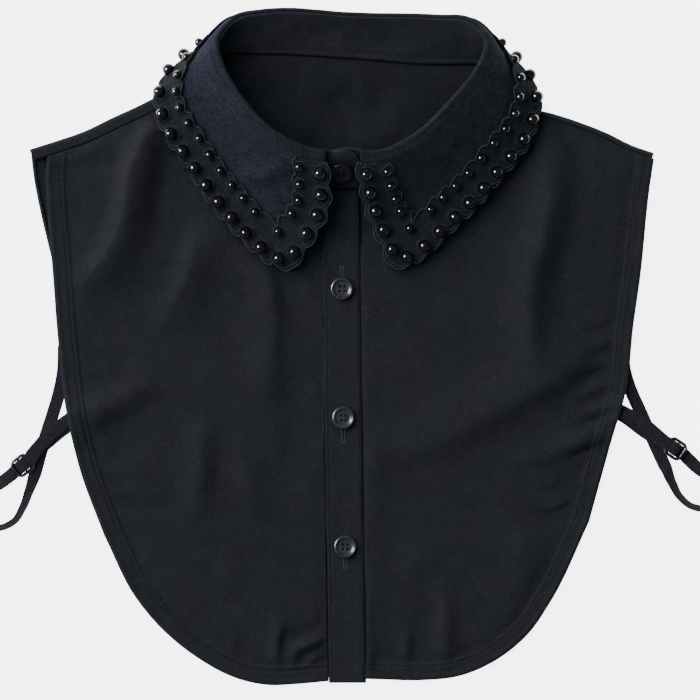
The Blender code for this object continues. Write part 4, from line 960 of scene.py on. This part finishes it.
ALL_SCALLOPS = FRONT_SCALLOPS + SIDE_SCALLOPS
TRIM_TOP = TRIM_LIFT + TRIM_WALL            # over the fall's middle surface
Cord = namedtuple("Cord", "inset rim radius")
CORDS = [Cord(0.4, "outer", 0.44), Cord(1.75, "outer", 0.33), Cord(0.45, "inner", 0.36)]
BACK_TRIM_WIDTH = 19.5


def scallop(phase):
    """Distance of the scalloped edge from its outermost line, 0 at the middle of a scallop."""
    return SCALLOP_DEPTH * (1 - np.abs(np.sin(math.pi * np.asarray(phase, float))))


def side_reach(side, depth):
    start = front_inset(depth, depth, side)
    return start, float(at_section(LEFT_LAST_BEAD if side == "left" else RIGHT_LAST_BEAD))


def even_shares(side):
    """Shares of the side stretch that make its scallops equally long."""
    start, end = side_reach(side, OUTER_BEADS_AT)
    shares = np.linspace(0, 1, 80)
    run = lengths_along(fall_point(start + (end - start) * shares, np.full(80, OUTER_BEADS_AT)))
    return np.interp(np.linspace(0, run[-1], SIDE_SCALLOPS + 1), run, shares)


SHARES = {side: even_shares(side) for side in SIDES}


def trim_place(side, column, depth):
    """A place on the trim: column counts scallops from the fold, depth is from the free edge."""
    if column <= FRONT_SCALLOPS:
        narrowing = FRONT_NARROWING * (1 - column / FRONT_SCALLOPS)
        depth -= narrowing * max(depth - OUTER_BEADS_AT, 0)
        s = front_inset(float(section_length(0)) - TRIM_BELOW_FOLD, depth, side)
        top = float(section_length(s)) - TRIM_BELOW_FOLD
        q = top + (depth - top) * column / FRONT_SCALLOPS
        return front_inset(q, depth, side), q
    share = float(np.interp(column - FRONT_SCALLOPS, np.arange(SIDE_SCALLOPS + 1), SHARES[side]))
    start, end = side_reach(side, depth)
    return start + (end - start) * share, depth


def trim_points(s, q, lift):
    """Points at a height over the fall's middle surface, and the surface's normals there."""
    normal = fall_normal(s, q)
    return fall_point(s, q) + np.asarray(lift)[..., None] * normal, normal


def bead_places(side):
    """Outer and inner beads as (s, q, diameter); the corner's inner bead serves two scallops."""
    places = []
    for k in range(ALL_SCALLOPS):
        places.append((*trim_place(side, k + 0.5, OUTER_BEADS_AT), OUTER_BEAD))
        if k != FRONT_SCALLOPS:
            column = FRONT_SCALLOPS if k == FRONT_SCALLOPS - 1 else k + 0.5
            places.append((*trim_place(side, column, INNER_BEADS_AT), INNER_BEAD))
    return places


def trim_relief(grid, column, depth, beads):
    """Height of the embroidery over the ground: corded edges, a ring at each bead and the netting."""
    cut, phase = scallop(column), column * 2 * math.pi
    from_outer, from_inner = depth - cut, TRIM_WIDTH - cut - depth
    twist = 1 + 0.16 * np.sin(phase * 9)
    relief = 0.35 * bell(from_outer - 1.0, 0.9) * twist + 0.35 * bell(from_inner - 0.9, 0.8) * twist
    relief += 0.2 * bell(from_outer - 2.9, 0.5) + 0.2 * bell(from_inner - 2.3, 0.5)
    nearest = np.min([np.linalg.norm(grid - centre, axis=-1) - diameter / 2
                      for centre, diameter in beads], axis=0)
    relief += 0.55 * bell(nearest - 0.7, 0.65) * (1 + 0.15 * np.sin(phase * 11 + depth * 2))
    lattice = np.sin(phase * 4 + depth * 1.9) * np.sin(phase * 4 - depth * 1.9)
    relief += ease((nearest - 1.6) / 1.0) * 0.16 * lattice
    return relief + 0.08 * noise2(column * 14, depth * 1.3, 95)


def trim_wave(column, depth):
    return 0.25 * noise2(column * 0.9, depth / 9, 96)


def trim_piece(side, look):
    """The embroidered ground, with its relief."""
    columns = np.arange(24 * ALL_SCALLOPS + 1) / 24
    edge_rows = np.array([0, 0.35, 0.8, 1.3, 1.9, 2.6, 3.4])
    middle = np.linspace(4.2, TRIM_WIDTH - 4.2, 22)
    depths = np.concatenate([edge_rows, middle, TRIM_WIDTH - edge_rows[::-1]])
    cut = scallop(columns)[:, None]
    outer = cut * np.clip(1 - depths / OUTER_BEADS_AT, 0, 1)
    inner = cut * np.clip((depths - INNER_BEADS_AT) / (TRIM_WIDTH - INNER_BEADS_AT), 0, 1)
    depth = depths + outer - inner
    every = np.repeat(columns[:, None], len(depths), axis=1)
    places = np.array([trim_place(side, c, d) for c, d in zip(every.ravel(), depth.ravel())])
    s, q = places.T.reshape(2, *depth.shape)
    ground, normal = trim_points(s, q, TRIM_TOP - 0.35)
    beads = [(trim_points(a, b, TRIM_TOP - 0.35)[0], d) for a, b, d in bead_places(side)]
    edge = np.minimum(depth - cut, TRIM_WIDTH - cut - depth)
    roll = rounded(np.minimum(edge, np.minimum(every, ALL_SCALLOPS - every) * 6), 0.6)
    uneven = slack(s, q, FALL_WAVES)
    relief = trim_relief(ground, every, depth, beads) * roll
    lift = relief + trim_wave(every, depth) + uneven - 0.45 * (1 - roll)
    lower = trim_points(s, q, TRIM_LIFT + 0.05 + uneven + 0.25 * (1 - roll))[0]
    along = lengths_along(ground[:, 10])[:, None] + np.zeros(depth.shape)
    wall(f"cloth_trim_{side}", ground + lift[..., None] * normal, lower, np.dstack([along, depth]), look,
         f"trim_{side}")


def across_bead(normal):
    """Two directions in the cloth's plane at a bead."""
    first = unit(np.cross(normal, (0.3, 0.1, 1.0)))
    return first, np.cross(normal, first)


def trim_cords(side, look):
    """The cords sewn along both scalloped edges, doubled at the outer one, and a ring round each bead."""
    shell = Shell()
    columns = np.linspace(0.02, ALL_SCALLOPS - 0.02, 24 * ALL_SCALLOPS)
    for cord in CORDS:
        cut = scallop(columns) + cord.inset
        depths = cut if cord.rim == "outer" else TRIM_WIDTH - cut
        s, q = np.array([trim_place(side, column, depth) for column, depth in zip(columns, depths)]).T
        lift = slack(s, q, FALL_WAVES) + trim_wave(columns, depths) + 0.07 * noise1(columns * 9, 97)
        shell.tube(trim_points(s, q, TRIM_TOP + 0.18 + lift)[0], cord.radius, 7)
    for s, q, diameter in bead_places(side):
        centre, normal = trim_points(s, q, TRIM_TOP + 0.15)
        across, beside = across_bead(normal)
        turn = np.linspace(0, 2 * math.pi, 25)[:, None]
        ring = (diameter / 2 + 0.45) * (np.cos(turn) * across + np.sin(turn) * beside)
        shell.tube(centre + ring, 0.26, 6)
    # the cords' look is a lighter copy of the embroidery: painted light on the raised cords and bead rings
    add_mesh(f"trim_cords_{side}", shell.verts, shell.faces, look, (f"trim_{side}",))


def beads_piece(side, look):
    """All the round beads of one side, each sitting in its ring, with the thread hole along the cloth."""
    verts, faces = [], []
    around, rings = 24, 14
    turn, pairs = turns(around)[:, None], [(m, (m + 1) % around) for m in range(around)]
    for s, q, diameter in bead_places(side):
        radius = diameter / 2
        centre, normal = trim_points(s, q, TRIM_TOP - 0.3 + 0.33 * diameter)
        pole, across = across_bead(normal)
        base = len(verts)
        for polar in np.linspace(0, math.pi, rings + 1)[1:-1]:
            spread = math.sin(polar) * (np.cos(turn) * across + np.sin(turn) * normal)
            verts += list(centre + radius * (spread + math.cos(polar) * pole))
        poles, last = len(verts), len(verts) - around
        verts += [centre + radius * pole, centre - radius * pole]
        faces += [(a + m, a + m + around, a + n + around, a + n) for a in range(base, last, around)
                  for m, n in pairs]
        for m, n in pairs:
            faces += [(poles, base + m, base + n), (poles + 1, last + n, last + m)]
    add_mesh(f"beads_{side}", verts, faces, look)


def back_trim_piece(look):
    """The plain stretch of trim that is tucked under the back of the neck."""
    columns = at_section(np.linspace(LEFT_LAST_BEAD, RIGHT_LAST_BEAD, 140))
    columns[0], columns[-1] = columns[0] + TRIM_GAP, columns[-1] - TRIM_GAP
    s, q = np.meshgrid(columns, np.linspace(0, BACK_TRIM_WIDTH, 28), indexing="ij")
    lift = TRIM_LIFT + BACK_TRIM_STANDOFF * (1.0 - np.abs(fall_normal(s, q)[..., 2]))
    inner, outer = (trim_points(s, q, lift + level)[0] for level in (0.1, TRIM_WALL - 0.1))
    outer[..., 2] = np.maximum(outer[..., 2], 0.0)
    wall("cloth_trim_back", outer, inner, np.dstack([s, q]), look, "trim_back")


# ---------------------------------------------------------------- buttons

BUTTON_PROFILE = [          # shares of the radius and of the thickness
    (0.02, -0.5), (0.55, -0.5), (0.72, -0.47), (0.86, -0.36), (0.95, -0.2), (0.99, -0.04), (1.0, 0.1),
    (0.99, 0.24), (0.965, 0.35), (0.93, 0.43), (0.88, 0.48), (0.83, 0.5), (0.78, 0.47), (0.73, 0.39),
    (0.69, 0.28), (0.65, 0.2), (0.6, 0.155), (0.5, 0.13), (0.3, 0.11), (0.02, 0.10),
]
BUTTON_HOLES = [(1.15, 1.15), (-1.15, 1.15), (-1.15, -1.15), (1.15, -1.15)]
HOLE_RADIUS = 0.64
STRAND_LEAN, STRAND_RADIUS = 0.24, 0.2


def placed(points, centre, tilt):
    """Points of a button turned up by its tilt about the x axis and moved to its place."""
    x, y, z = np.asarray(points, float).T
    c, s = math.cos(tilt), math.sin(tilt)
    return np.stack([x, y * c - z * s, y * s + z * c], 1) + centre


def flat_ring(middle, radius, z, count):
    t = turns(count)
    return np.stack([middle[0] + radius * np.cos(t), middle[1] + radius * np.sin(t), np.full(count, z)], 1)


def button_pieces(name, centre, tilt, look, thread):
    """A four-hole button turned from a profile, sewn on with three strands of thread in each hole."""
    thick, share = BUTTON_THICKNESS, np.linspace(0, 1, 5)[:, None]
    disc, holes, strands = Shell(), Shell(), Shell()
    disc.sweep([flat_ring((0, 0), r * BUTTON_DIAMETER / 2, z * thick, 72) for r, z in BUTTON_PROFILE])
    for hole in BUTTON_HOLES:
        holes.sweep([flat_ring(hole, HOLE_RADIUS, z, 20) for z in (-thick, thick)])
        for turn in (0.4, 2.5, 4.6):
            lean = STRAND_LEAN * np.array([math.cos(turn), math.sin(turn)])
            strand = np.hstack([hole + lean * (1 - share), (0.02 - 0.5 * share) * thick])
            strands.tube(strand, STRAND_RADIUS)
    body, cutter = (add_mesh(f"{kind}_{name}", placed(shell.verts, centre, tilt), shell.faces, look) for kind, shell in (("turned", disc), ("cut", holes)))
    cut = body.modifiers.new("Holes", "BOOLEAN")
    cut.operation, cut.solver, cut.object = "DIFFERENCE", "EXACT", cutter
    finished = bpy.data.meshes.new_from_object(body.evaluated_get(bpy.context.evaluated_depsgraph_get()))
    body.modifiers.clear()
    body.data = finished
    bpy.data.objects.remove(cutter)
    body.data.shade_smooth()
    body.data.set_sharp_from_angle(angle=math.radians(50))
    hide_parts(name)
    add_mesh(f"{name}_thread", placed(strands.verts, centre, tilt), strands.faces, thread)


def placket_button_place(y):
    middle = PLACKET_WIDTH / 2
    level = float(placket_surface(np.array(middle), np.array(y))) + BUTTON_RISE + BUTTON_THICKNESS / 2
    return np.array([float(placket_x(y)) + middle, y, level]), 0.0


def stand_button_place():
    x, share = STAND_BUTTON
    seam, top = np.array(LAPPED_OVER[-1], float)
    up = unit(top - seam)
    normal = np.array([0.0, -up[2], up[1]])
    centre = seam + (top - seam) * share + normal * (STAND_WALL / 2 + GAP + BUTTON_THICKNESS / 2)
    centre[0] = x
    return centre, math.atan2(-normal[1], normal[2])


# ---------------------------------------------------------------- elastic and slides

LOOP_THICK, TAB_THICK = 0.85, 0.8
LOOP_HALF = 0.43            # what the loop's thickness takes over the surface when it lies flat
TAB_EXTRA_WIDTH = 0.2
# How the elastic passes the slide: steps towards the garment from the slide's middle, and heights over it.
LOOP_END = [(-5.6, -1.55), (-4.6, -1.62), (-3.7, -1.4), (-2.9, -0.5), (-2.2, 0.8), (-1.3, 1.75), (0.0, 2.0),
            (1.4, 1.85), (2.6, 1.45)]
TAB_BEND = [(5.6, 1.05), (4.6, 1.1), (3.0, 1.0), (1.0, 1.08), (-0.3, 1.05), (-1.3, 0.75), (-1.65, 0.0),
            (-1.3, -0.75), (-0.2, -1.05), (1.5, -1.1), (4.6, -1.15), (6.4, -0.9)]
LOOP_STOPS = 6.3            # the loop's own route ends this far from the slide's middle
LOOP_START = 150            # points of that route before it first comes near the slide
WIRE, WIRE_BEND, BAR = 0.82, 2.4, 0.6       # the slide's wire, its corners, and its middle bar


def webbing(name, path, across, look, width, thick, nodes):
    """Narrow woven elastic along a path, with the given direction across it at each point."""
    along = unit(np.gradient(path, axis=0))
    across = unit(across - np.sum(across * along, axis=1, keepdims=True) * along)
    run = lengths_along(path)
    c, s = np.cos(turns(22)), np.sin(turns(22))
    wide = np.sign(c) * np.abs(c) ** 0.55 * width / 2
    high = np.sign(s) * np.abs(s) ** 0.45 * thick / 2
    picks = (1 + 0.012 * np.sin(run * 2 * math.pi / 1.1))[:, None, None]
    shell = Shell()
    shell.sweep(path[:, None] + picks * wide[:, None] * across[:, None]
                + high[:, None] * np.cross(across, along)[:, None])
    uv = np.stack(np.broadcast_arrays(wide[None], run[:, None]), -1).reshape(-1, 2)
    add_mesh(name, shell.verts, shell.faces, look, nodes, uv)


def slide_axes(side):
    """The slide's middle, its direction towards the garment and the direction across it."""
    centre, angle = SLIDES[side]
    turn = math.radians(angle)
    towards = np.array([math.cos(turn), math.sin(turn), 0.0])
    if np.dot(towards[:2], np.subtract(TABS[side]["upper"][0], centre[:2])) < 0:
        towards = -towards
    return np.array(centre, float), towards, np.array([-towards[1], towards[0], 0.0])


def by_slide(side, steps, count):
    """A smooth route past the slide."""
    centre, towards, _ = slide_axes(side)
    return smooth_line([centre + towards * x + np.array([0, 0, z]) for x, z in steps], count)


def strap_loop(side, look):
    """The elastic from the back panel's edge, turned on edge at its far end, and under the slide's bar."""
    line = smooth_line(LOOPS[side], 260)
    centre, towards, slide_across = slide_axes(side)
    plan = unit(np.gradient(line[:, :2], axis=0))
    flat = np.column_stack([-plan[:, 1], plan[:, 0], np.zeros(len(plan))])
    turn = np.radians(line[:, 3:] * (-1 if side == "left" else 1))
    across = np.cos(turn) * flat + np.sin(turn) * np.array(UP)
    lowest = np.abs(across[:, 2]) * WEBBING / 2 + np.abs(np.cos(turn[:, 0])) * LOOP_HALF + 0.05
    path = np.column_stack([line[:, :2], np.maximum(line[:, 2], lowest)])
    keep = (np.dot(path - centre, towards) < -LOOP_STOPS) | (np.arange(len(path)) < LOOP_START)
    end = by_slide(side, LOOP_END, 50)
    sign = np.sign(np.dot(across[keep][-1], slide_across)) or 1.0
    across = np.vstack([across[keep], np.tile(slide_across * sign, (len(end), 1))])
    path = np.vstack([path[keep], end])
    run = lengths_along(path)
    at = np.linspace(0, run[-1], 420)
    path, across = (softened(read_along(at, run, rows), 6) for rows in (path, across))
    webbing(f"elastic_loop_{side}", path, across, look, WEBBING, LOOP_THICK, (f"strap_loop_{side}",))


def strap_tab(side, look):
    """The doubled elastic: out over the slide's near bar, round its middle bar and back underneath."""
    upper, lower = (np.column_stack([smooth_line(TABS[side][layer], 40), np.full(40, TAB_LEVELS[layer])])
                    for layer in ("upper", "lower"))
    path = softened(evenly(np.vstack([upper, by_slide(side, TAB_BEND, 90), lower[::-1]]), 240), 3)
    webbing(f"elastic_tab_{side}", path, slide_axes(side)[2], look, WEBBING + TAB_EXTRA_WIDTH, TAB_THICK,
            (f"strap_tab_lower_{side}", f"strap_tab_upper_{side}"))


def slide_piece(side, look):
    """A two-window slide: a frame of round wire with a thinner bar across its middle."""
    centre, towards, across = slide_axes(side)
    half_x, half_y = (size / 2 - WIRE for size in SLIDE_SIZE)
    ring = []
    for sx, sy, first in ((1, 1, 0), (-1, 1, 90), (-1, -1, 180), (1, -1, 270)):
        for t in np.radians(first + np.linspace(0, 90, 9)):
            x = sx * (half_x - WIRE_BEND) + WIRE_BEND * math.cos(t)
            y = sy * (half_y - WIRE_BEND) + WIRE_BEND * math.sin(t)
            ring.append(centre + towards * x + across * y)
    ring = np.array(ring)
    along = unit(np.roll(ring, -1, axis=0) - np.roll(ring, 1, axis=0))
    upward = np.tile((0, 0, 0.95), (len(ring), 1))
    shell = Shell()
    shell.sweep(round_rings(ring, unit(np.cross(along, UP)), upward, WIRE, 12), closed=True)
    shell.tube(centre + across * np.linspace(-half_y, half_y, 12)[:, None], BAR, 12)
    add_mesh(f"slide_ring_{side}", shell.verts, shell.faces, look, (f"slide_{side}",))


# ---------------------------------------------------------------- materials

class Look:
    """A material that is built up node by node."""

    def __init__(self, name, roughness, specular=0.0, metallic=0.0):
        self.material = bpy.data.materials.new(name)
        self.material.use_nodes = True
        self.nodes, self.links = self.material.node_tree.nodes, self.material.node_tree.links
        self.shader = self.nodes["Principled BSDF"]
        self.places = self.nodes.new("ShaderNodeTexCoord").outputs
        self.set(self.shader, {"Roughness": roughness, "Specular IOR Level": specular,
                               "Metallic": metallic})

    def set(self, node, inputs):
        """Gives each input its value, or a link where the value is another node's output."""
        for name, value in inputs.items():
            if isinstance(value, bpy.types.NodeSocket):
                self.links.new(value, node.inputs[name])
            else:
                node.inputs[name].default_value = value

    def add(self, kind, output, inputs, **settings):
        """A new node's output."""
        node = self.nodes.new("ShaderNode" + kind)
        for name, value in settings.items():
            setattr(node, name, value)
        self.set(node, inputs)
        return node.outputs[output]

    def noise(self, scale, detail, roughness):
        return self.add("TexNoise", "Fac", {"Vector": self.places["Object"], "Scale": scale,
                                            "Detail": detail, "Roughness": roughness})

    def wave(self, scale, direction, distortion, stretch=(1, 1, 1)):
        """Bands along one way of the cloth's own coordinates, in millimetres."""
        vector = self.add("Mapping", "Vector", {"Vector": self.places["UV"], "Scale": stretch})
        return self.add("TexWave", "Fac", {"Vector": vector, "Scale": scale, "Distortion": distortion,
                                           "Detail Scale": 1.5}, bands_direction=direction)

    def math(self, operation, a, b):
        return self.add("Math", "Value", {0: a, 1: b}, operation=operation)

    def mix(self, a, b, share):
        return self.math("ADD", self.math("MULTIPLY", a, 1 - share), self.math("MULTIPLY", b, share))

    def ramp(self, factor, stops):
        node = self.nodes.new("ShaderNodeValToRGB")
        elements = node.color_ramp.elements
        while len(elements) < len(stops):
            elements.new(0.5)
        for element, (place, rgb) in zip(elements, stops):
            element.position, element.color = place, (*rgb, 1.0)
        self.set(node, {"Fac": factor})
        return node.outputs["Color"]

    def colour(self, factor, stops):
        self.set(self.shader, {"Base Color": self.ramp(factor, stops)})

    def shades(self, factor, base, stops):
        """Colours the material by darker and lighter shares of a base colour."""
        self.colour(factor, [(place, tone(base, share)) for place, share in stops])

    def blend(self, factor, dark, light, shade=1.0):
        """Colours the material between two tones."""
        self.colour(factor, [(0.3, tone(dark, shade)), (0.7, tone(light, shade))])

    def tint_by(self, factor, stops):
        """Multiplies the base colour by tones that follow a factor."""
        plain = self.shader.inputs["Base Color"].links[0].from_socket
        tones = self.ramp(factor, stops)
        product = self.add("VectorMath", "Vector", {0: plain, 1: tones}, operation="MULTIPLY")
        self.set(self.shader, {"Base Color": product})

    def share_along_x(self, first, last):
        """From 0 to 1 between two places from left to right, in metres."""
        x = self.add("SeparateXYZ", "X", {0: self.places["Object"]})
        return self.add("MapRange", "Result", {"Value": x, "From Min": first, "From Max": last})

    def bump(self, height, strength, distance):
        inputs = {"Height": height, "Strength": strength, "Distance": distance}
        if self.shader.inputs["Normal"].is_linked:
            inputs["Normal"] = self.shader.inputs["Normal"].links[0].from_socket
        self.set(self.shader, {"Normal": self.add("Bump", "Normal", inputs)})

    def vary_roughness(self, factor, low, high):
        varied = self.add("MapRange", "Result", {"Value": factor, "To Min": low, "To Max": high})
        self.set(self.shader, {"Roughness": varied})


def tone(rgb, share):
    return tuple(c * share for c in rgb)


CREPE_COLOUR, SATEEN_COLOUR = (0.0214, 0.0247, 0.0289), (0.0236, 0.0268, 0.0385)
EMBROIDERY_COLOUR, ELASTIC_COLOUR = (0.0245, 0.0285, 0.0330), (0.0265, 0.0275, 0.0335)
CREPE_COOL, CREPE_WARM = (0.91, 1.05, 1.0), (1.09, 0.95, 1.01)    # the two casts its dye shades between
SATEEN_PAINTED_SHADE = [            # painted light and shade on the sateen from left to right, in metres: lighter and bluer where it faces the light, darker where it turns away
    (-0.110, (1.0, 1.0, 1.0)), (-0.050, (1.0, 1.0, 0.97)), (-0.024, (0.86, 0.86, 0.76)),
    (0.020, (0.86, 0.90, 0.76)), (0.090, (0.88, 0.92, 0.78)),
]


def crepe_look(name="Black crepe", shade=1.0):
    look = Look(name, 0.9)
    pebble, patches = look.noise(900, 4, 0.6), look.noise(130, 4, 0.6)
    look.shades(look.mix(pebble, patches, 0.28), tone(CREPE_COLOUR, shade),
                [(0.32, 0.74), (0.5, 1), (0.68, 1.34)])
    look.tint_by(look.noise(42, 4, 0.6), [(0.38, CREPE_COOL), (0.62, CREPE_WARM)])
    look.bump(look.math("MULTIPLY", look.wave(0.62, "X", 1.2), look.wave(0.62, "Y", 1.2)), 0.25, 0.00015)
    look.bump(pebble, 0.4, 0.0005)
    return look.material


def satin_look():
    look = Look("Collar sateen", 0.6)
    fine, patches = look.noise(800, 4, 0.6), look.noise(170, 3, 0.5)
    look.shades(look.mix(fine, patches, 0.3), SATEEN_COLOUR, [(0.34, 0.6), (0.5, 1), (0.66, 1.5)])
    first, last = SATEEN_PAINTED_SHADE[0][0], SATEEN_PAINTED_SHADE[-1][0]
    stops = [((x - first) / (last - first), rgb) for x, rgb in SATEEN_PAINTED_SHADE]
    # painted shade: the collar darkens from left to right, where the right leaf turns away from the light
    look.tint_by(look.share_along_x(first, last), stops)
    weft = look.math("MULTIPLY", look.wave(0.75, "Y", 0.6), 0.6)
    look.bump(look.math("ADD", look.wave(0.9, "X", 0.6), weft), 0.18, 0.00012)
    look.bump(fine, 0.2, 0.0003)
    look.vary_roughness(patches, 0.52, 0.68)
    return look.material


def embroidery_look(name="Embroidered trim", shade=1.0):
    look = Look(name, 0.7)
    fine = look.noise(1500, 3, 0.5)
    look.shades(fine, tone(EMBROIDERY_COLOUR, shade), [(0.3, 0.6), (0.55, 1), (0.75, 2.0)])
    look.bump(look.wave(1.1, "X", 2.0, stretch=(1, 0.35, 1)), 0.5, 0.0003)
    look.bump(fine, 0.5, 0.0004)
    return look.material


def elastic_look():
    look = Look("Woven elastic", 0.8)
    look.shades(look.noise(1400, 3, 0.5), ELASTIC_COLOUR, [(0.3, 0.6), (0.5, 1), (0.72, 1.6)])
    picks = look.math("MULTIPLY", look.wave(0.55, "Y", 0.4), 0.7)
    look.bump(look.math("ADD", look.wave(0.38, "X", 0.2), picks), 0.6, 0.00035)
    return look.material


def thread_look(name="Sewing thread", shade=1.0):
    look = Look(name, 0.7)
    twist = look.noise(2600, 2, 0.5)
    look.blend(twist, (0.009, 0.010, 0.013), (0.020, 0.022, 0.027), shade)
    look.bump(twist, 0.4, 0.0002)
    return look.material


def bead_look():
    look = Look("Black glass bead", 0.15, specular=0.36)
    cloud = look.noise(300, 2, 0.5)
    look.blend(cloud, (0.0045, 0.0045, 0.0055), (0.009, 0.009, 0.0105))
    look.vary_roughness(cloud, 0.12, 0.17)
    return look.material


def button_look(name="Button resin", specular=0.34, shade=1.0):
    look = Look(name, 0.26, specular)
    cloud = look.noise(240, 3, 0.6)
    look.blend(cloud, (0.019, 0.021, 0.027), (0.036, 0.039, 0.050), shade)
    look.vary_roughness(cloud, 0.22, 0.34)
    look.bump(look.noise(2500, 2, 0.5), 0.05, 0.0002)
    return look.material


def slide_look():
    look = Look("Dark plated slide", 0.25, specular=0.5, metallic=0.9)
    cloud = look.noise(500, 3, 0.6)
    look.blend(cloud, (0.035, 0.035, 0.04), (0.06, 0.06, 0.068))
    look.set(look.shader, {"Specular Tint": (0.16, 0.16, 0.19, 1.0)})
    look.vary_roughness(cloud, 0.2, 0.34)
    return look.material


def floor_look():
    """Pale, and with a glow of its own that fades away from the garment."""
    look = Look("Pale studio floor", 0.9)
    look.blend(look.noise(40, 4, 0.5), (0.80, 0.80, 0.80), (0.83, 0.83, 0.83))
    away = look.add("VectorMath", "Value", {0: look.places["Object"]}, operation="LENGTH")
    fade = {"Value": away, "From Min": GLOW_RADIUS, "From Max": 4 * GLOW_RADIUS,
            "To Min": FLOOR_GLOW, "To Max": FLOOR_GLOW * GLOW_EDGE}
    glow = look.add("MapRange", "Result", fade, interpolation_type="SMOOTHSTEP")
    look.set(look.shader, {"Emission Color": (1.0, 1.0, 1.0, 1.0), "Emission Strength": glow})
    return look.material


# ---------------------------------------------------------------- floor, light and camera

FLOOR_HALF, FLOOR_DROP = 4.0, 0.0004
FLOOR_GLOW = 5.0
GLOW_RADIUS, GLOW_EDGE = 0.27, 0.18     # the floor glows fully out to the radius, and to this share far off
SKY_TINT, SKY_STRENGTH = (0.80, 0.97, 1.0), 0.16
VIEW_WIDTH = 0.350          # what the camera's frame spans on the floor
VIEW_MIDDLE = (2.0, -1.0, 0.0)
CAMERA_DISTANCE = 6.0
SENSOR = 36.0
WHITE = (1.0, 1.0, 1.0)

Lamp = namedtuple("Lamp", "name place power size tint glossy diffuse")
LAMPS = [                   # the key lights the cloth, the small spark makes the highlights on the beads
    Lamp("key", (-1.98, 1.43, 1.86), 188.0, 4.4, (1.0, 0.93, 0.98), False, True),
    Lamp("spark", (-1.38, 0.42, 1.16), 210.0, 0.76, WHITE, True, False),
    Lamp("fill", (0.7, -0.5, 1.8), 2.0, 2.0, WHITE, True, True),
]


def add_to_scene(name, data, place):
    made = bpy.data.objects.new(name, data)
    made.location = place
    bpy.context.scene.collection.objects.link(made)
    return made


def floor():
    mesh = bpy.data.meshes.new("floor")
    corners = [(x * FLOOR_HALF, y * FLOOR_HALF, 0) for x, y in ((-1, -1), (1, -1), (1, 1), (-1, 1))]
    mesh.from_pydata(corners, [], [(0, 1, 2, 3)])
    mesh.materials.append(floor_look())
    add_to_scene("floor", mesh, (0, 0, -FLOOR_DROP))


def lights():
    for lamp in LAMPS:
        data = bpy.data.lights.new(lamp.name, "AREA")
        data.energy, data.size, data.shape, data.color = lamp.power, lamp.size, "DISK", lamp.tint
        light = add_to_scene(lamp.name, data, lamp.place)
        light.rotation_euler = (-Vector(lamp.place)).to_track_quat("-Z", "Y").to_euler()
        light.visible_glossy, light.visible_diffuse = lamp.glossy, lamp.diffuse
    world = bpy.data.worlds.new("Studio")
    world.use_nodes = True
    sky = world.node_tree.nodes["Background"].inputs
    sky["Color"].default_value, sky["Strength"].default_value = (*SKY_TINT, 1.0), SKY_STRENGTH
    bpy.context.scene.world = world


def camera():
    """Straight above the garment, as the photo's is, and far off."""
    lens = bpy.data.cameras.new("camera")
    lens.sensor_width, lens.lens = SENSOR, SENSOR * CAMERA_DISTANCE / VIEW_WIDTH
    lens.clip_end = 50.0
    x, y, _ = lay(VIEW_MIDDLE)
    bpy.context.scene.camera = add_to_scene("camera", lens, (x, y, CAMERA_DISTANCE))


# ---------------------------------------------------------------- the garment

Sheet = namedtuple("Sheet", "piece flat area held rests_on goes_with")


def garment():
    # painted light: the stand and the armhole rim get a lighter copy of the crepe
    crepe, crepe_painted_light, thread = crepe_look(), crepe_look("Stand crepe painted light", 1.35), thread_look()
    # painted light: the cords get a lighter copy of the embroidery
    trim, cord, glass = embroidery_look(), embroidery_look("Trim cord painted light", 1.7), bead_look()
    resin, elastic, metal = button_look(), elastic_look(), slide_look()
    # painted shade: the back panel gets a darker copy of the crepe
    back_piece(crepe_look("Back crepe painted shade", 0.86), crepe, crepe_painted_light)
    for side in SIDES:
        front_piece(side, crepe, thread)
    placket_piece(crepe, thread, thread_look("Buttonhole thread", 3.4))
    stand_piece(crepe_painted_light)
    fall_piece(satin_look())
    for side in SIDES:
        trim_piece(side, trim)
        trim_cords(side, cord)
        beads_piece(side, glass)
    back_trim_piece(trim)
    for number, y in enumerate(BUTTON_ROWS, start=1):
        button_pieces(f"button_{number}", *placket_button_place(y), resin, thread)
    shaded = button_look("Shaded button resin", 0.10, 0.55)
    button_pieces("button_stand", *stand_button_place(), shaded, thread)
    for side in SIDES:
        strap_loop(side, elastic)
        strap_tab(side, elastic)
        slide_piece(side, metal)


garment()
floor()
lights()
camera()
